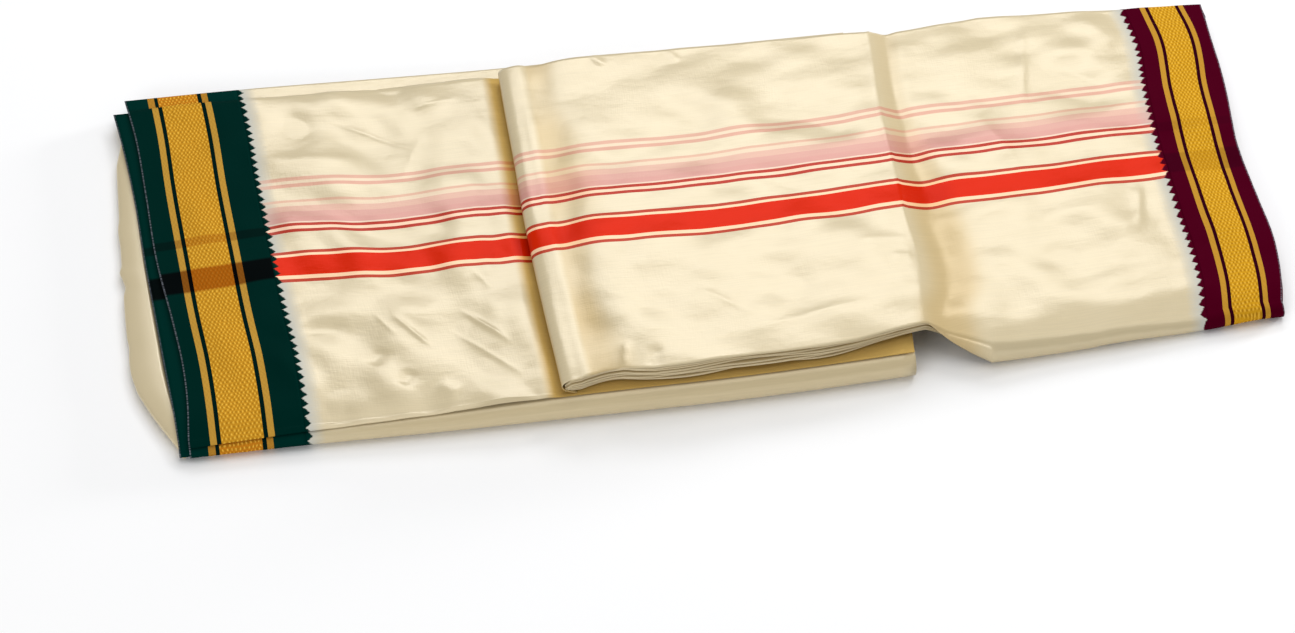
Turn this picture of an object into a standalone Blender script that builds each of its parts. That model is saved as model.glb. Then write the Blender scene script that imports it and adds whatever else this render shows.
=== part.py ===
"""A dhoti cloth folded lengthwise into a strip and then folded in three, lying on a table.

The strip is the whole cloth, 1.27 m wide, pleated into layers 0.35 m deep. Its left run has the
green border, its right run the maroon one, and the runs overlap in a packet in the middle.
Metres, +Z up. X runs along the strip from left to right and Y from the front fold to the back.
The origin is on the table under the middle of the cloth.
"""

import bpy
import numpy as np

# Driving dimensions
CLOTH = 0.0012  # one sheet, with the air it holds
GAP = 0.0003  # between sheets that touch
LIFT = CLOTH + GAP  # from a sheet's face to the face of the next sheet out
FOLD_REACH = 0.008  # how far a front fold rounds out before the flat of the layers
PACKET_REACH = 0.013  # how far the packet's left fold rounds out
PACKET_EDGE_REACH = 0.002  # how far the top sheet turns down at the packet's front
PACKET_BACK_INSET = 0.016  # packet's back edge in front of the back of the left run
SHOULDER = 0.07  # share of the depth over which a front shoulder slopes down
PACKET_SHOULDER = 0.0005  # how far the front shoulder slopes down on the packet
SETTLED_SHOULDER = 0.0030  # and on the right run beside it
LEFT_RUN_END = 0.012  # the left run ends this far to the left of the packet's drop
FOLD_SLACK = 0.0005  # room that the hidden layers leave inside a fold
THIRD_SLACK = 0.0010  # and the further room they leave beside the third sheet
PACKET_SLACK = 0.0005  # room between the packet and the sheet it rests on
SLOPE_SLACK = 0.0001  # extra room between the hidden layers and a top sheet
LEAST_UPRIGHT = 0.6  # a top sheet steeper than this asks for no more room under it
TUCK_ANGLE = -75.0  # degrees below level at which a wrapped sheet ends under its fold
NOSE_ANGLES = (TUCK_ANGLE, -50.0, -25.0, 0.0, 25.0, 45.0, 62.0, 77.0)  # round the left fold
NOSE_EDGE_START = 0.15  # share of the front turn-down at which the left fold's begins
BOTTOM_BACK_INSET = 0.006  # bottom sheet's back edge in front of the wrap's
LAYERS_BACK_INSET = 0.013  # flat of the left run's hidden layers in front of the wrap's edge
THIRD_UNDERLAP = 0.002  # the third sheet's border stops this far short of the seam
LAYERS_STEP = (-0.0015, 0.0010)  # where the hidden layers step up at the seam
LAYERS_INSET = 0.001  # hidden layers' top edge inside the third sheet's edge
LEAST_BULGE = 0.0015  # and how far they round out at the least
RIGHT_OVERHANG = 0.0012  # fold edges of the hidden layers at the maroon end
LEFT_WAVER = (0.30, 40.0)  # swing of the fold edges along the back, and its rate along X
RIGHT_WAVER = (0.25, 35.0)

# Lines that run from the front fold to the back fold, as X at shares of the way
LINES = {
    "share": (0.00, 0.07, 0.20, 0.31, 0.50, 0.70, 0.88, 1.00),
    "left_edge": (-0.3630, -0.3610, -0.3605, -0.3630, -0.3685, -0.3700, -0.3720, -0.3760),
    "third_edge": (-0.3695, -0.3700, -0.3720, -0.3735, -0.3762, -0.3780, -0.3820, -0.3860),
    "bottom_edge": (-0.3670, -0.3740, -0.3790, -0.3800, -0.3800, -0.3800, -0.3800, -0.3800),
    "bulge_edge": (-0.3710, -0.3740, -0.3885, -0.3940, -0.3920, -0.3890, -0.3870, -0.3865),
    "green_seam": (-0.2895, -0.2895, -0.2895, -0.2900, -0.2915, -0.2926, -0.2925, -0.2950),
    "packet_fold": (-0.1241, -0.1241, -0.1242, -0.1240, -0.1230, -0.1202, -0.1182, -0.1165),
    "packet_drop": (0.1190, 0.1220, 0.1245, 0.1255, 0.1305, 0.1355, 0.1415, 0.1455),
    "maroon_seam": (0.3060, 0.3105, 0.3150, 0.3168, 0.3215, 0.3290, 0.3380, 0.3375),
    "right_edge": (0.3600, 0.3670, 0.3728, 0.3737, 0.3755, 0.3850, 0.3905, 0.3940),
}

# The strip's front and back, and the height of the left run's wrap, at places along X
RUN = {
    "x": (-0.400, -0.290, -0.200, -0.120, 0.000, 0.150, 0.250, 0.340, 0.400),
    "front": (-0.1740, -0.1755, -0.1790, -0.1810, -0.1830, -0.1780, -0.1720, -0.1665, -0.1615),
    "back": (0.1836, 0.1812, 0.1770, 0.1730, 0.1720, 0.1700, 0.1675, 0.1645, 0.1610),
    "front_height": (0.0135, 0.0150, 0.0170, 0.0185, 0.0190, 0.0190, 0.0190, 0.0190, 0.0190),
    "back_height": (0.0115, 0.0120, 0.0120, 0.0125, 0.0130, 0.0130, 0.0130, 0.0130, 0.0130),
    "shoulder_drop": (0.0040, 0.0035, 0.0020, 0.0010, 0.0005, 0.0005, 0.0005, 0.0005, 0.0005),
    "front_droop": (50.0, 29.0, 20.0, 12.0, 10.0, 10.0, 10.0, 10.0, 10.0),
}

# How far the packet's front edge stands behind the front of the left run, at places along X
PACKET_FRONT = {
    "x": (-0.125, -0.090, -0.070, 0.000, 0.050, 0.090, 0.125),
    "inset": (0.003, 0.012, 0.009, 0.011, 0.011, 0.017, 0.024),
}

# Stations of the right run: the line each is measured from, metres past it, and the
# heights of the top sheet there at the front and at the back
RIGHT_RUN = (
    ("packet_fold", 0.013, 0.0330, 0.0268),
    ("packet_fold", 0.022, 0.0342, 0.0275),
    ("packet_fold", 0.050, 0.0346, 0.0276),
    ("packet_fold", 0.085, 0.0345, 0.0275),
    ("packet_fold", 0.120, 0.0342, 0.0270),
    ("packet_fold", 0.155, 0.0336, 0.0264),
    ("packet_fold", 0.190, 0.0326, 0.0256),
    ("packet_drop", -0.030, 0.0318, 0.0250),
    ("packet_drop", -0.011, 0.0312, 0.0248),
    ("packet_drop", -0.001, 0.0306, 0.0244),
    ("packet_drop", 0.010, 0.0270, 0.0216),
    ("packet_drop", 0.022, 0.0242, 0.0192),
    ("packet_drop", 0.040, 0.0226, 0.0178),
    ("maroon_seam", -0.125, 0.0206, 0.0160),
    ("maroon_seam", -0.090, 0.0192, 0.0146),
    ("maroon_seam", -0.055, 0.0178, 0.0132),
    ("maroon_seam", -0.025, 0.0164, 0.0120),
    ("maroon_seam", 0.000, 0.0152, 0.0110),
)
BORDER_STATIONS = 6
BORDER_END_HEIGHTS = (0.0140, 0.0105)  # maroon edge, front and back
RAMP_START = 0.010  # the right run's underside turns down this far past the left run's end
RAMP_FOOT = 0.050  # and reaches the table this far past the drop
SETTLED_AFTER = 0.040  # its front edge lines up with the left run's this far past the drop
BACK_SETTLED_AFTER = 0.085  # and its back edge this far past it
FILLED_AFTER = 0.055  # and its front fold is full of layers

# Soft folds raised in the top sheets: place along X, share, half-lengths along X and across, height
LEFT_FOLDS = (
    (-0.255, 0.62, 0.030, 0.22, 0.0012),
    (-0.215, 0.28, 0.018, 0.20, 0.0016),
    (-0.165, 0.52, 0.016, 0.30, 0.0014),
    (-0.325, 0.45, 0.030, 0.35, 0.0010),
)
LEFT_FOLDS_END = -0.13  # the left folds fade out before the packet rests on them
LEFT_FOLDS_FADE = 0.02
RIGHT_FOLDS = (
    (-0.060, 0.40, 0.030, 0.30, 0.0010),
    (0.030, 0.70, 0.026, 0.22, 0.0012),
    (0.090, 0.22, 0.024, 0.18, 0.0012),
    (0.205, 0.62, 0.020, 0.40, 0.0016),
    (0.270, 0.30, 0.022, 0.26, 0.0014),
    (0.352, 0.60, 0.030, 0.09, 0.0022),
    (0.345, 0.25, 0.030, 0.12, 0.0024),
)

# Fold edges of the hidden layers, top one first: share of the full overhang that each reaches
PACKET_LAYERS = (0.45, 1.00, 0.70, 0.90, 0.60)
LEFT_RUN_LAYERS = (0.80, 0.50, 1.00, 0.70)
PACKET_OVERHANG = 0.0032
LEFT_RUN_OVERHANG = 0.010
SEGMENTS_PER_LAYER = 4

# Shares of the way at which every sheet has a row of points, from the back edge to the front
SHARES = (1.0, 0.965, 0.90, 0.80, 0.70, 0.60, 0.50, 0.40, 0.31, 0.22, 0.14, 0.07, 0.035, 0.0)
BEND_ROWS = 7  # points round a front fold

COLOURS = {
    "cream": (0.80, 0.72, 0.50, 1.0),
    "green": (0.006, 0.045, 0.038, 1.0),
    "maroon": (0.085, 0.004, 0.018, 1.0),
}


def line(name, share):
    """X of one of the plan lines at a share of the way from front to back."""
    return np.interp(share, LINES["share"], LINES[name])


def run(name, x):
    """One column of the strip's table at X."""
    return np.interp(x, RUN["x"], RUN[name])


def raised(folds, x, share):
    """Height that the soft folds add at X and share."""
    total = np.zeros(np.broadcast(x, share).shape)
    for place, middle, half_x, half_share, height in folds:
        distance = ((x - place) / half_x) ** 2 + ((share - middle) / half_share) ** 2
        total = total + height * np.exp(-1.5 * distance)
    return total


def waver(x, kind):
    """How much the fold edges along the back reach at X, about 1."""
    swing, rate = kind
    return 1.0 + swing * np.sin(x * rate)


def shoulder(share):
    """How much of the shoulder's drop is left at a share of the way back."""
    return np.clip(1.0 - share / SHOULDER, 0.0, 1.0) ** 2


def wrap_height(x, share):
    """Height of the left run's wrap, the second sheet, on its level part."""
    level = run("front_height", x) + share * (run("back_height", x) - run("front_height", x))
    return level - run("shoulder_drop", x) * shoulder(share)


def packet_floor(x, share):
    """Height that the packet rests at: the left run's top sheet and the gap over it."""
    return wrap_height(x, share) + LIFT + PACKET_SLACK


def flat_place(x, share, reach, front_inset=0.0, back_inset=0.0):
    """Y at a share between the start of the front fold and the back edge."""
    start = run("front", x) + front_inset + reach
    end = run("back", x) - back_inset
    return start + share * (end - start)


def normals(points):
    """Unit normals of a grid of points, from the directions of its rows and columns."""
    along = np.gradient(points, axis=0)
    across = np.gradient(points, axis=1)
    found = np.cross(across, along)
    return found / np.linalg.norm(found, axis=2, keepdims=True)


def grid_faces(rows, columns, start=0):
    """Quads of a grid whose points are numbered row by row from start."""
    index = start + np.arange(rows * columns).reshape(rows, columns)
    quads = (index[:-1, :-1], index[:-1, 1:], index[1:, 1:], index[1:, :-1])
    return np.stack(quads, axis=-1).reshape(-1, 4)


def material(name):
    """A plain silk finish in one of the cloth's colours."""
    found = bpy.data.materials.new(name)
    found.use_nodes = True
    shader = found.node_tree.nodes["Principled BSDF"]
    shader.inputs["Base Color"].default_value = COLOURS[name.split("_")[0]]
    shader.inputs["Roughness"].default_value = 0.4
    return found


def new_object(name, points, faces, colour):
    """A smooth mesh object from its points and faces."""
    mesh = bpy.data.meshes.new(name)
    mesh.from_pydata(points.reshape(-1, 3).tolist(), [], faces.tolist())
    mesh.materials.append(material(colour + "_" + name))
    mesh.shade_smooth()
    created = bpy.data.objects.new(name, mesh)
    bpy.context.scene.collection.objects.link(created)
    return created


def sheet(name, points, colour):
    """One sheet of cloth whose outer face is a grid of points; its wall grows inwards."""
    created = new_object(name, points, grid_faces(*points.shape[:2]), colour)
    wall = created.modifiers.new("Wall", "SOLIDIFY")
    wall.thickness = CLOTH
    wall.offset = -1.0
    return created


def boundary(rows, columns):
    """Grid places round the edge of a grid, one way round, and which side each is on."""
    first = [(i, 0) for i in range(rows)]
    second = [(rows - 1, j) for j in range(1, columns)]
    third = [(i, columns - 1) for i in range(rows - 2, -1, -1)]
    fourth = [(0, j) for j in range(columns - 2, 0, -1)]
    return np.array(first + second + third + fourth)


def layer_profile(layers):
    """Levels from top to bottom and the reach of the fold edges at each, 0 to 1."""
    steps = np.arange(1, SEGMENTS_PER_LAYER + 1) / SEGMENTS_PER_LAYER
    round_edge = np.sqrt(np.clip(1.0 - (2.0 * steps - 1.0) ** 2, 0.0, 1.0))
    levels = [(k + step) / len(layers) for k in range(len(layers)) for step in steps]
    reach = [depth * (0.35 + 0.65 * part) for depth in layers for part in round_edge]
    return np.array(levels[:-1]), np.array(reach[:-1])


def layered_block(name, top, bottom, layers, round_reach, edge_reach, colour):
    """Hidden layers as one solid: a top face, a bottom face and sides with their fold edges.

    top and bottom are grids of points with the same X and Y. round_reach and edge_reach are
    vectors for each boundary point: how far the side rounds out at mid height, and how far
    its fold edges reach.
    """
    rows, columns = top.shape[:2]
    rim = boundary(rows, columns)
    rim_top = top[rim[:, 0], rim[:, 1]]
    rim_bottom = bottom[rim[:, 0], rim[:, 1]]
    levels, reach = layer_profile(layers)
    loops = []
    for level, depth in zip(levels, reach):
        loop = rim_top + level * (rim_bottom - rim_top)
        swell = np.sqrt(1.0 - (2.0 * level - 1.0) ** 2)
        loop[:, :2] += swell * round_reach + depth * edge_reach
        loops.append(loop)
    count = len(rim)
    area = rows * columns
    points = np.concatenate([top.reshape(-1, 3), *loops, bottom.reshape(-1, 3)])
    faces = [grid_faces(rows, columns)]
    bottom_start = area + len(loops) * count
    faces.append(grid_faces(rows, columns, bottom_start)[:, ::-1])
    rim_index = rim[:, 0] * columns + rim[:, 1]
    rings = [rim_index]
    rings += [area + k * count + np.arange(count) for k in range(len(loops))]
    rings.append(bottom_start + rim_index)
    for upper, lower in zip(rings[:-1], rings[1:]):
        after_upper = np.roll(upper, -1)
        after_lower = np.roll(lower, -1)
        faces.append(np.stack((upper, after_upper, after_lower, lower), axis=-1))
    return new_object(name, points, np.concatenate(faces), colour)


def side_reach(rows, columns, left, right, front, back):
    """A vector for each boundary point from what each side asks for.

    left and right hold a value for each column and front and back one for each row. Column 0
    is the back edge and the last column is the front one.
    """
    rim = boundary(rows, columns)
    reach = np.zeros((len(rim), 2))
    i, j = rim[:, 0], rim[:, 1]
    reach[:, 0] += np.where(i == 0, -np.asarray(left)[j], 0.0)
    reach[:, 0] += np.where(i == rows - 1, np.asarray(right)[j], 0.0)
    reach[:, 1] += np.where(j == 0, np.asarray(back)[i], 0.0)
    reach[:, 1] += np.where(j == columns - 1, -np.asarray(front)[i], 0.0)
    return reach


def shares(behind=0, before=0):
    """The rows' shares, less some rows at the back and some at the front."""
    return np.array(SHARES[behind : len(SHARES) - before])


def stations(first, last, count):
    """X of evenly spaced rows of points from one plan line to another."""
    return first[None, :] + np.linspace(0.0, 1.0, count)[:, None] * (last - first)[None, :]


def left_run_end(share):
    """X where the left run ends under the packet."""
    return line("packet_drop", share) - LEFT_RUN_END


def wrap_points(first, last, count):
    """Outer face of the wrap: the second sheet, the front fold and the bottom sheet."""
    share = shares()
    x = stations(first(share), last(share), count)
    y = flat_place(x, share, FOLD_REACH)
    top = np.stack((x, y, wrap_height(x, share)), axis=-1)
    angle = np.radians(np.linspace(90.0, -90.0, BEND_ROWS + 2))[1:-1]
    fold_x = x[:, -1:] + 0.0 * angle
    half = wrap_height(fold_x, 0.0) / 2.0
    fold_y = run("front", fold_x) + FOLD_REACH * (1.0 - np.cos(angle))
    fold = np.stack((fold_x, fold_y, half * (1.0 + np.sin(angle))), axis=-1)
    under = share[::-1]
    under_x = stations(first(under, True), last(under, True), count)
    under_y = flat_place(under_x, under, FOLD_REACH, back_inset=BOTTOM_BACK_INSET)
    bottom = np.stack((under_x, under_y, 0.0 * under_x), axis=-1)
    return np.concatenate((top, fold, bottom), axis=1)


def wrap_left(share, under=False):
    """Left edge of the wrap, on its top or under the cloth."""
    return line("bottom_edge" if under else "left_edge", share)


def wrap_seam(share, under=False, past=0.0):
    """Where the green border meets the cream field."""
    return line("green_seam", share) + past


def build_wrap():
    """The sheet that wraps the left run from its back edge, round the front and under it."""
    seam_before = lambda share, under=False: wrap_seam(share, under)
    seam_after = lambda share, under=False: wrap_seam(share, under, GAP)
    run_end = lambda share, under=False: left_run_end(share)
    sheet("left_wrap_border", wrap_points(wrap_left, seam_before, 5), "green")
    sheet("left_wrap_field", wrap_points(seam_after, run_end, 12), "cream")


def top_left_points(first, last, count):
    """Outer face of the left run's top sheet, drooping a little over the front fold."""
    share = shares(behind=1)
    x = stations(first(share), last(share), count)
    lift = raised(LEFT_FOLDS, x, share)
    lift = lift * np.clip((LEFT_FOLDS_END - x) / LEFT_FOLDS_FADE, 0.0, 1.0)
    level = np.stack((x, flat_place(x, share, FOLD_REACH), wrap_height(x, share)), axis=-1)
    fold_x = x[:, -1:]
    angle = np.radians(90.0 - run("front_droop", fold_x) * np.linspace(0.2, 1.0, 5))
    half = wrap_height(fold_x, 0.0) / 2.0
    fold_y = run("front", fold_x) + FOLD_REACH * (1.0 - np.cos(angle))
    fold_z = half * (1.0 + np.sin(angle))
    fold = np.stack((fold_x + 0.0 * angle, fold_y, fold_z), axis=-1)
    under = np.concatenate((level, fold), axis=1)
    over = under + LIFT * normals(under)
    over[:, : len(share), 2] += lift
    return over


def build_top_left():
    """The left run's top sheet, its green border and its cream field."""
    seam_before = lambda share: line("green_seam", share)
    seam_after = lambda share: line("green_seam", share) + GAP
    edge = lambda share: line("left_edge", share)
    sheet("left_top_border", top_left_points(edge, seam_before, 6), "green")
    sheet("left_top_field", top_left_points(seam_after, left_run_end, 16), "cream")


def build_third_border():
    """The green border of the third sheet, which shows as a strip past the left edge."""
    share = shares(behind=1, before=1)
    first = line("third_edge", share)
    last = line("green_seam", share) - THIRD_UNDERLAP
    x = stations(first, last, 5)
    z = wrap_height(x, share) - LIFT
    points = np.stack((x, flat_place(x, share, FOLD_REACH), z), axis=-1)
    sheet("left_third_border", points, "green")


def build_left_run_layers():
    """Hidden layers of the left run, bulging out past the borders at the left."""
    share = shares()
    inner = line("third_edge", share) + LAYERS_INSET
    before_step = line("green_seam", share) + LAYERS_STEP[0]
    step = line("green_seam", share) + LAYERS_STEP[1]
    border = stations(inner, before_step, 4)
    field = stations(step, left_run_end(share), 11)
    x = np.concatenate((border, field))
    y = flat_place(x, share, FOLD_REACH, back_inset=LAYERS_BACK_INSET)
    drop = LIFT * (1.0 + (np.arange(len(x)) < len(border)))[:, None]
    top = np.stack((x, y, wrap_height(x, share) - drop), axis=-1)
    bottom = np.stack((x, y, np.full_like(x, LIFT)), axis=-1)
    rows, columns = x.shape
    bulge = np.maximum(inner - line("bulge_edge", share), LEAST_BULGE)
    under_third = np.arange(rows) < len(border)
    round_front = FOLD_REACH - LIFT - FOLD_SLACK - THIRD_SLACK * under_third
    none_long = np.zeros(rows)
    none_across = np.zeros(columns)
    round_reach = side_reach(rows, columns, bulge, none_across, round_front, none_long)
    edge_back = LEFT_RUN_OVERHANG * waver(x[:, 0], LEFT_WAVER)
    edge_reach = side_reach(rows, columns, none_across, none_across, none_long, edge_back)
    layered_block("left_run_layers", top, bottom, LEFT_RUN_LAYERS, round_reach, edge_reach, "cream")


def settle(x, share, after=SETTLED_AFTER):
    """How far a point of the right run has come from the packet's place to its own, 0 to 1."""
    return np.clip((x - line("packet_drop", share)) / after, 0.0, 1.0)


def right_run_place(x, share):
    """Y of a point of the right run, whose packet stands in from the left run's edges."""
    packet = 1.0 - settle(x, share)
    front_inset = np.interp(x, PACKET_FRONT["x"], PACKET_FRONT["inset"]) * packet
    back_inset = PACKET_BACK_INSET * (1.0 - settle(x, share, BACK_SETTLED_AFTER))
    return flat_place(x, share, right_fold_reach(packet), front_inset, back_inset)


def right_fold_reach(packet):
    """How far the top sheet's front edge rounds out: little on the packet, fully beside it."""
    return PACKET_EDGE_REACH + (FOLD_REACH - PACKET_EDGE_REACH) * (1.0 - packet)


def right_top_level():
    """Outer face of the right run's top sheet on its level part, field and border stations."""
    share = shares()
    x, front, back = [], [], []
    for name, past, front_height, back_height in RIGHT_RUN:
        x.append(line(name, share) + past)
        front.append(front_height)
        back.append(back_height)
    seam, edge = line("maroon_seam", share), line("right_edge", share)
    for part in np.linspace(0.0, 1.0, BORDER_STATIONS):
        x.append(seam + GAP + part * (edge - seam - GAP))
        front.append(front[len(RIGHT_RUN) - 1] * (1.0 - part) + BORDER_END_HEIGHTS[0] * part)
        back.append(back[len(RIGHT_RUN) - 1] * (1.0 - part) + BORDER_END_HEIGHTS[1] * part)
    x = np.array(x)
    front = np.array(front)[:, None]
    back = np.array(back)[:, None]
    drop = PACKET_SHOULDER + (SETTLED_SHOULDER - PACKET_SHOULDER) * settle(x, share)
    z = front + share * (back - front) - drop * shoulder(share)
    z = z + raised(RIGHT_FOLDS, x, share)
    return x, share, np.stack((x, right_run_place(x, share), z), axis=-1)


def front_fold(level, share):
    """Points of the top sheet that turn down at the front, all the way beside the packet."""
    edge = level[:, -1:]
    packet = 1.0 - settle(edge[..., 0], share[-1])
    reach = right_fold_reach(packet)
    half = PACKET_EDGE_REACH * packet + edge[..., 2] / 2.0 * (1.0 - packet)
    sweep = 60.0 * packet + (90.0 - TUCK_ANGLE) * (1.0 - packet)
    angle = np.radians(90.0 - sweep * np.linspace(0.0, 1.0, BEND_ROWS + 1)[1:])
    y = edge[..., 1] - reach * np.cos(angle)
    z = edge[..., 2] - half * (1.0 - np.sin(angle))
    return np.stack((edge[..., 0] + 0.0 * angle, y, z), axis=-1)


def packet_nose(level, share):
    """Points of the top sheet that round the packet's left fold and tuck under it."""
    start = level[0]
    low = packet_floor(start[:, 0], share)
    half = (start[:, 2] - low) / 2.0
    angle = np.radians(NOSE_ANGLES)
    x = start[None, :, 0] - PACKET_REACH * np.cos(angle)[:, None]
    z = (low + half)[None, :] + half[None, :] * np.sin(angle)[:, None]
    y = np.broadcast_to(start[None, :, 1], x.shape)
    return np.stack((x, y, z), axis=-1)


def build_right_run():
    """The packet and the right run: its hidden layers, its top sheet and its maroon border."""
    x, share, level = right_top_level()
    field_count = len(RIGHT_RUN)
    fold = front_fold(level, share)
    nose = packet_nose(level, share)
    nose_fold = front_fold(nose, share)
    turned = np.linspace(NOSE_EDGE_START, 1.0, BEND_ROWS)
    nose_fold[:, :, 1] = nose[:, -1:, 1] - PACKET_EDGE_REACH * turned
    nose_fold[:, :, 2] = nose[:, -1:, 2]
    field = np.concatenate((level, fold), axis=1)
    left = np.concatenate((nose, nose_fold), axis=1)
    top_field = np.concatenate((left, field[:field_count]))
    sheet("right_top_field", top_field, "cream")
    sheet("right_top_border", field[field_count:], "maroon")
    build_right_run_layers(level, x, share, field)


def build_right_run_layers(level, x, share, field):
    """Hidden layers of the packet and the right run, just inside the top sheet."""
    keep = [k for k in range(len(x)) if k != len(RIGHT_RUN)]
    upright = normals(field)[keep][:, : len(share), 2]
    top = level[keep]
    top[:, :, 2] -= (LIFT + SLOPE_SLACK) / np.clip(upright, LEAST_UPRIGHT, 1.0)
    top[-1, :, 0] -= LIFT
    x = top[:, :, 0]
    bottom = top.copy()
    past = (x - left_run_end(share) - RAMP_START) / (LEFT_RUN_END + RAMP_FOOT - RAMP_START)
    descend = 1.0 - np.clip(past, 0.0, 1.0)
    bottom[:, :, 2] = packet_floor(x, share) * descend
    tuck = np.maximum((np.arange(len(x)) == 0)[:, None], share[None, :] * 0.0)
    front_tuck = (1.0 - descend) * (share == 0.0)[None, :]
    bottom[:, :, 2] += LIFT * np.maximum(tuck, front_tuck)
    rows, columns = x.shape
    packet = 1.0 - settle(x[:, -1], share[-1])
    round_left = np.full(columns, PACKET_REACH - LIFT - FOLD_SLACK)
    filled = np.clip((x[:, -1] - line("packet_drop", 0.0)) / FILLED_AFTER, 0.0, 1.0)
    round_front = (FOLD_REACH - LIFT - FOLD_SLACK) * filled**3
    none_long, none_across = np.zeros(rows), np.zeros(columns)
    edge_back = PACKET_OVERHANG * waver(x[:, 0], RIGHT_WAVER)
    edge_front = edge_back * packet**4
    edge_right = np.full(columns, RIGHT_OVERHANG)
    round_reach = side_reach(rows, columns, round_left, none_across, round_front, none_long)
    edge_reach = side_reach(rows, columns, none_across, edge_right, edge_front, edge_back)
    layered_block("right_run_layers", top, bottom, PACKET_LAYERS, round_reach, edge_reach, "cream")


def main():
    for old in list(bpy.data.objects):
        bpy.data.objects.remove(old)
    build_left_run_layers()
    build_third_border()
    build_wrap()
    build_top_left()
    build_right_run()


main()
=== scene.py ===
"""A folded dhoti cloth on a pale table.

The strip is a cream silk cloth pleated into layers and folded in three. Its left run carries the
green border and its right run the maroon one, and where they overlap they make a packet. Each
stretch that shows is a thin sheet worked out from the plan lines and heights of the folded strip,
and the hidden layers are blocks with rows of fold edges at their sides. Metres, +Z up.
"""

import logging
import math
from dataclasses import dataclass
from enum import Enum

import bpy
import numpy as np
from mathutils import Matrix, Vector


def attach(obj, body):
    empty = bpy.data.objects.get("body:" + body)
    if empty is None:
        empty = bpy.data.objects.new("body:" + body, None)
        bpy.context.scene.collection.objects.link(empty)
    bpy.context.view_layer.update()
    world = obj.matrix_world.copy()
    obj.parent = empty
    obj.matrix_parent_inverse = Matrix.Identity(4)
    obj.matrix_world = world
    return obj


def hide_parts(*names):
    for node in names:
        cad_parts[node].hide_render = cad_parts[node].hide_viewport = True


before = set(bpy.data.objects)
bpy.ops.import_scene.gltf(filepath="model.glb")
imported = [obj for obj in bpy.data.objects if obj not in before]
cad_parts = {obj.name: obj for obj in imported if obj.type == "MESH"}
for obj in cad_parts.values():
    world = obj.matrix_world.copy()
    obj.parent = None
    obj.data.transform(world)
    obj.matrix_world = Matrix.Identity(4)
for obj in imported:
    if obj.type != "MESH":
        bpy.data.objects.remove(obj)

log = logging.getLogger("dhoti")

Wire = bpy.types.Node | bpy.types.NodeSocket

# Sizes shared with the solids
LIFT = 0.0015  # from a sheet's face to the face of the next sheet out
FOLD_REACH = 0.008  # how far a front fold rounds out
PACKET_REACH = 0.013  # how far the packet's left fold rounds out
PACKET_EDGE_REACH = 0.002  # how far the top sheet turns down at the packet's front
PACKET_BACK_INSET = 0.016  # packet's back edge in front of the back of the left run
PACKET_GAP = 0.0005  # the packet lies this far over the left run's top sheet
LEFT_RUN_END = 0.012  # the left run ends this far to the left of the packet's drop
SHOULDER = 0.07  # share of the depth over which a front shoulder slopes down
SETTLED_AFTER = 0.040  # right run's front edge lines up with the left run's past the drop
BACK_SETTLED_AFTER = 0.085  # and its back edge this far past it

# Sizes of the sheets as they are drawn
SHELL = 0.0005  # wall of a sheet
EDGE_SHELL = 0.0004  # wall of a fold edge
TABLE_GAP = 0.0007  # hidden layers over the table
EDGE_INSET = 0.0016  # fold edges in from the side of the sheet that covers them
DEEPEST = -0.0007  # lowest that a ripple or crease sinks into the layers below
SHOULDER_ENDS = 0.08  # rows are closer together from this share to the front
PLAIN = -0.2  # metres behind the red stripe where the cloth has no stripes
FIELD = 0.3  # metres past a seam, well clear of its teeth
BOUND = 0.02  # metres in from the cloth's edge, clear of its bound threads
BACKWARDS, FORWARDS, RIGHTWARDS = (0.0, 1.0), (0.0, -1.0), (1.0, 0.0)

# Lines that run from the front fold to the back fold, as X at shares of the way
LINES = {
    "share": (0.00, 0.07, 0.20, 0.31, 0.50, 0.70, 0.88, 1.00),
    "left_edge": (-0.3630, -0.3610, -0.3605, -0.3630, -0.3685, -0.3700, -0.3720, -0.3760),
    "third_edge": (-0.3695, -0.3700, -0.3720, -0.3735, -0.3762, -0.3780, -0.3820, -0.3860),
    "bottom_edge": (-0.3670, -0.3740, -0.3790, -0.3800, -0.3800, -0.3800, -0.3800, -0.3800),
    "bulge_edge": (-0.3690, -0.3800, -0.3930, -0.3935, -0.3918, -0.3890, -0.3862, -0.3845),
    "green_seam": (-0.2888, -0.2885, -0.2892, -0.2914, -0.2936, -0.2956, -0.2962, -0.2980),
    "packet_fold": (-0.1241, -0.1241, -0.1242, -0.1240, -0.1230, -0.1202, -0.1182, -0.1165),
    "packet_drop": (0.1190, 0.1220, 0.1245, 0.1255, 0.1305, 0.1355, 0.1415, 0.1455),
    "maroon_seam": (0.3060, 0.3105, 0.3150, 0.3168, 0.3215, 0.3290, 0.3380, 0.3375),
    "right_edge": (0.3590, 0.3650, 0.3712, 0.3725, 0.3750, 0.3850, 0.3905, 0.3940),
}

# The strip's front and back, and the height of the left run's wrap, at places along X
RUN = {
    "x": (-0.400, -0.290, -0.200, -0.120, 0.000, 0.150, 0.250, 0.340, 0.400),
    "front": (-0.1740, -0.1755, -0.1790, -0.1810, -0.1830, -0.1780, -0.1720, -0.1665, -0.1615),
    "back": (0.1836, 0.1812, 0.1770, 0.1730, 0.1720, 0.1700, 0.1675, 0.1645, 0.1610),
    "front_height": (0.0135, 0.0150, 0.0170, 0.0185, 0.0190, 0.0190, 0.0190, 0.0190, 0.0190),
    "back_height": (0.0115, 0.0120, 0.0120, 0.0125, 0.0130, 0.0130, 0.0130, 0.0130, 0.0130),
    "shoulder_drop": (0.0040, 0.0035, 0.0020, 0.0010, 0.0005, 0.0005, 0.0005, 0.0005, 0.0005),
    "front_droop": (50.0, 29.0, 20.0, 12.0, 10.0, 10.0, 10.0, 10.0, 10.0),
}

# How far the packet's front edge stands behind the front of the left run
PACKET_FRONT = {
    "x": (-0.125, -0.090, -0.070, 0.000, 0.050, 0.090, 0.125),
    "inset": (0.003, 0.012, 0.009, 0.011, 0.011, 0.017, 0.024),
}

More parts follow.
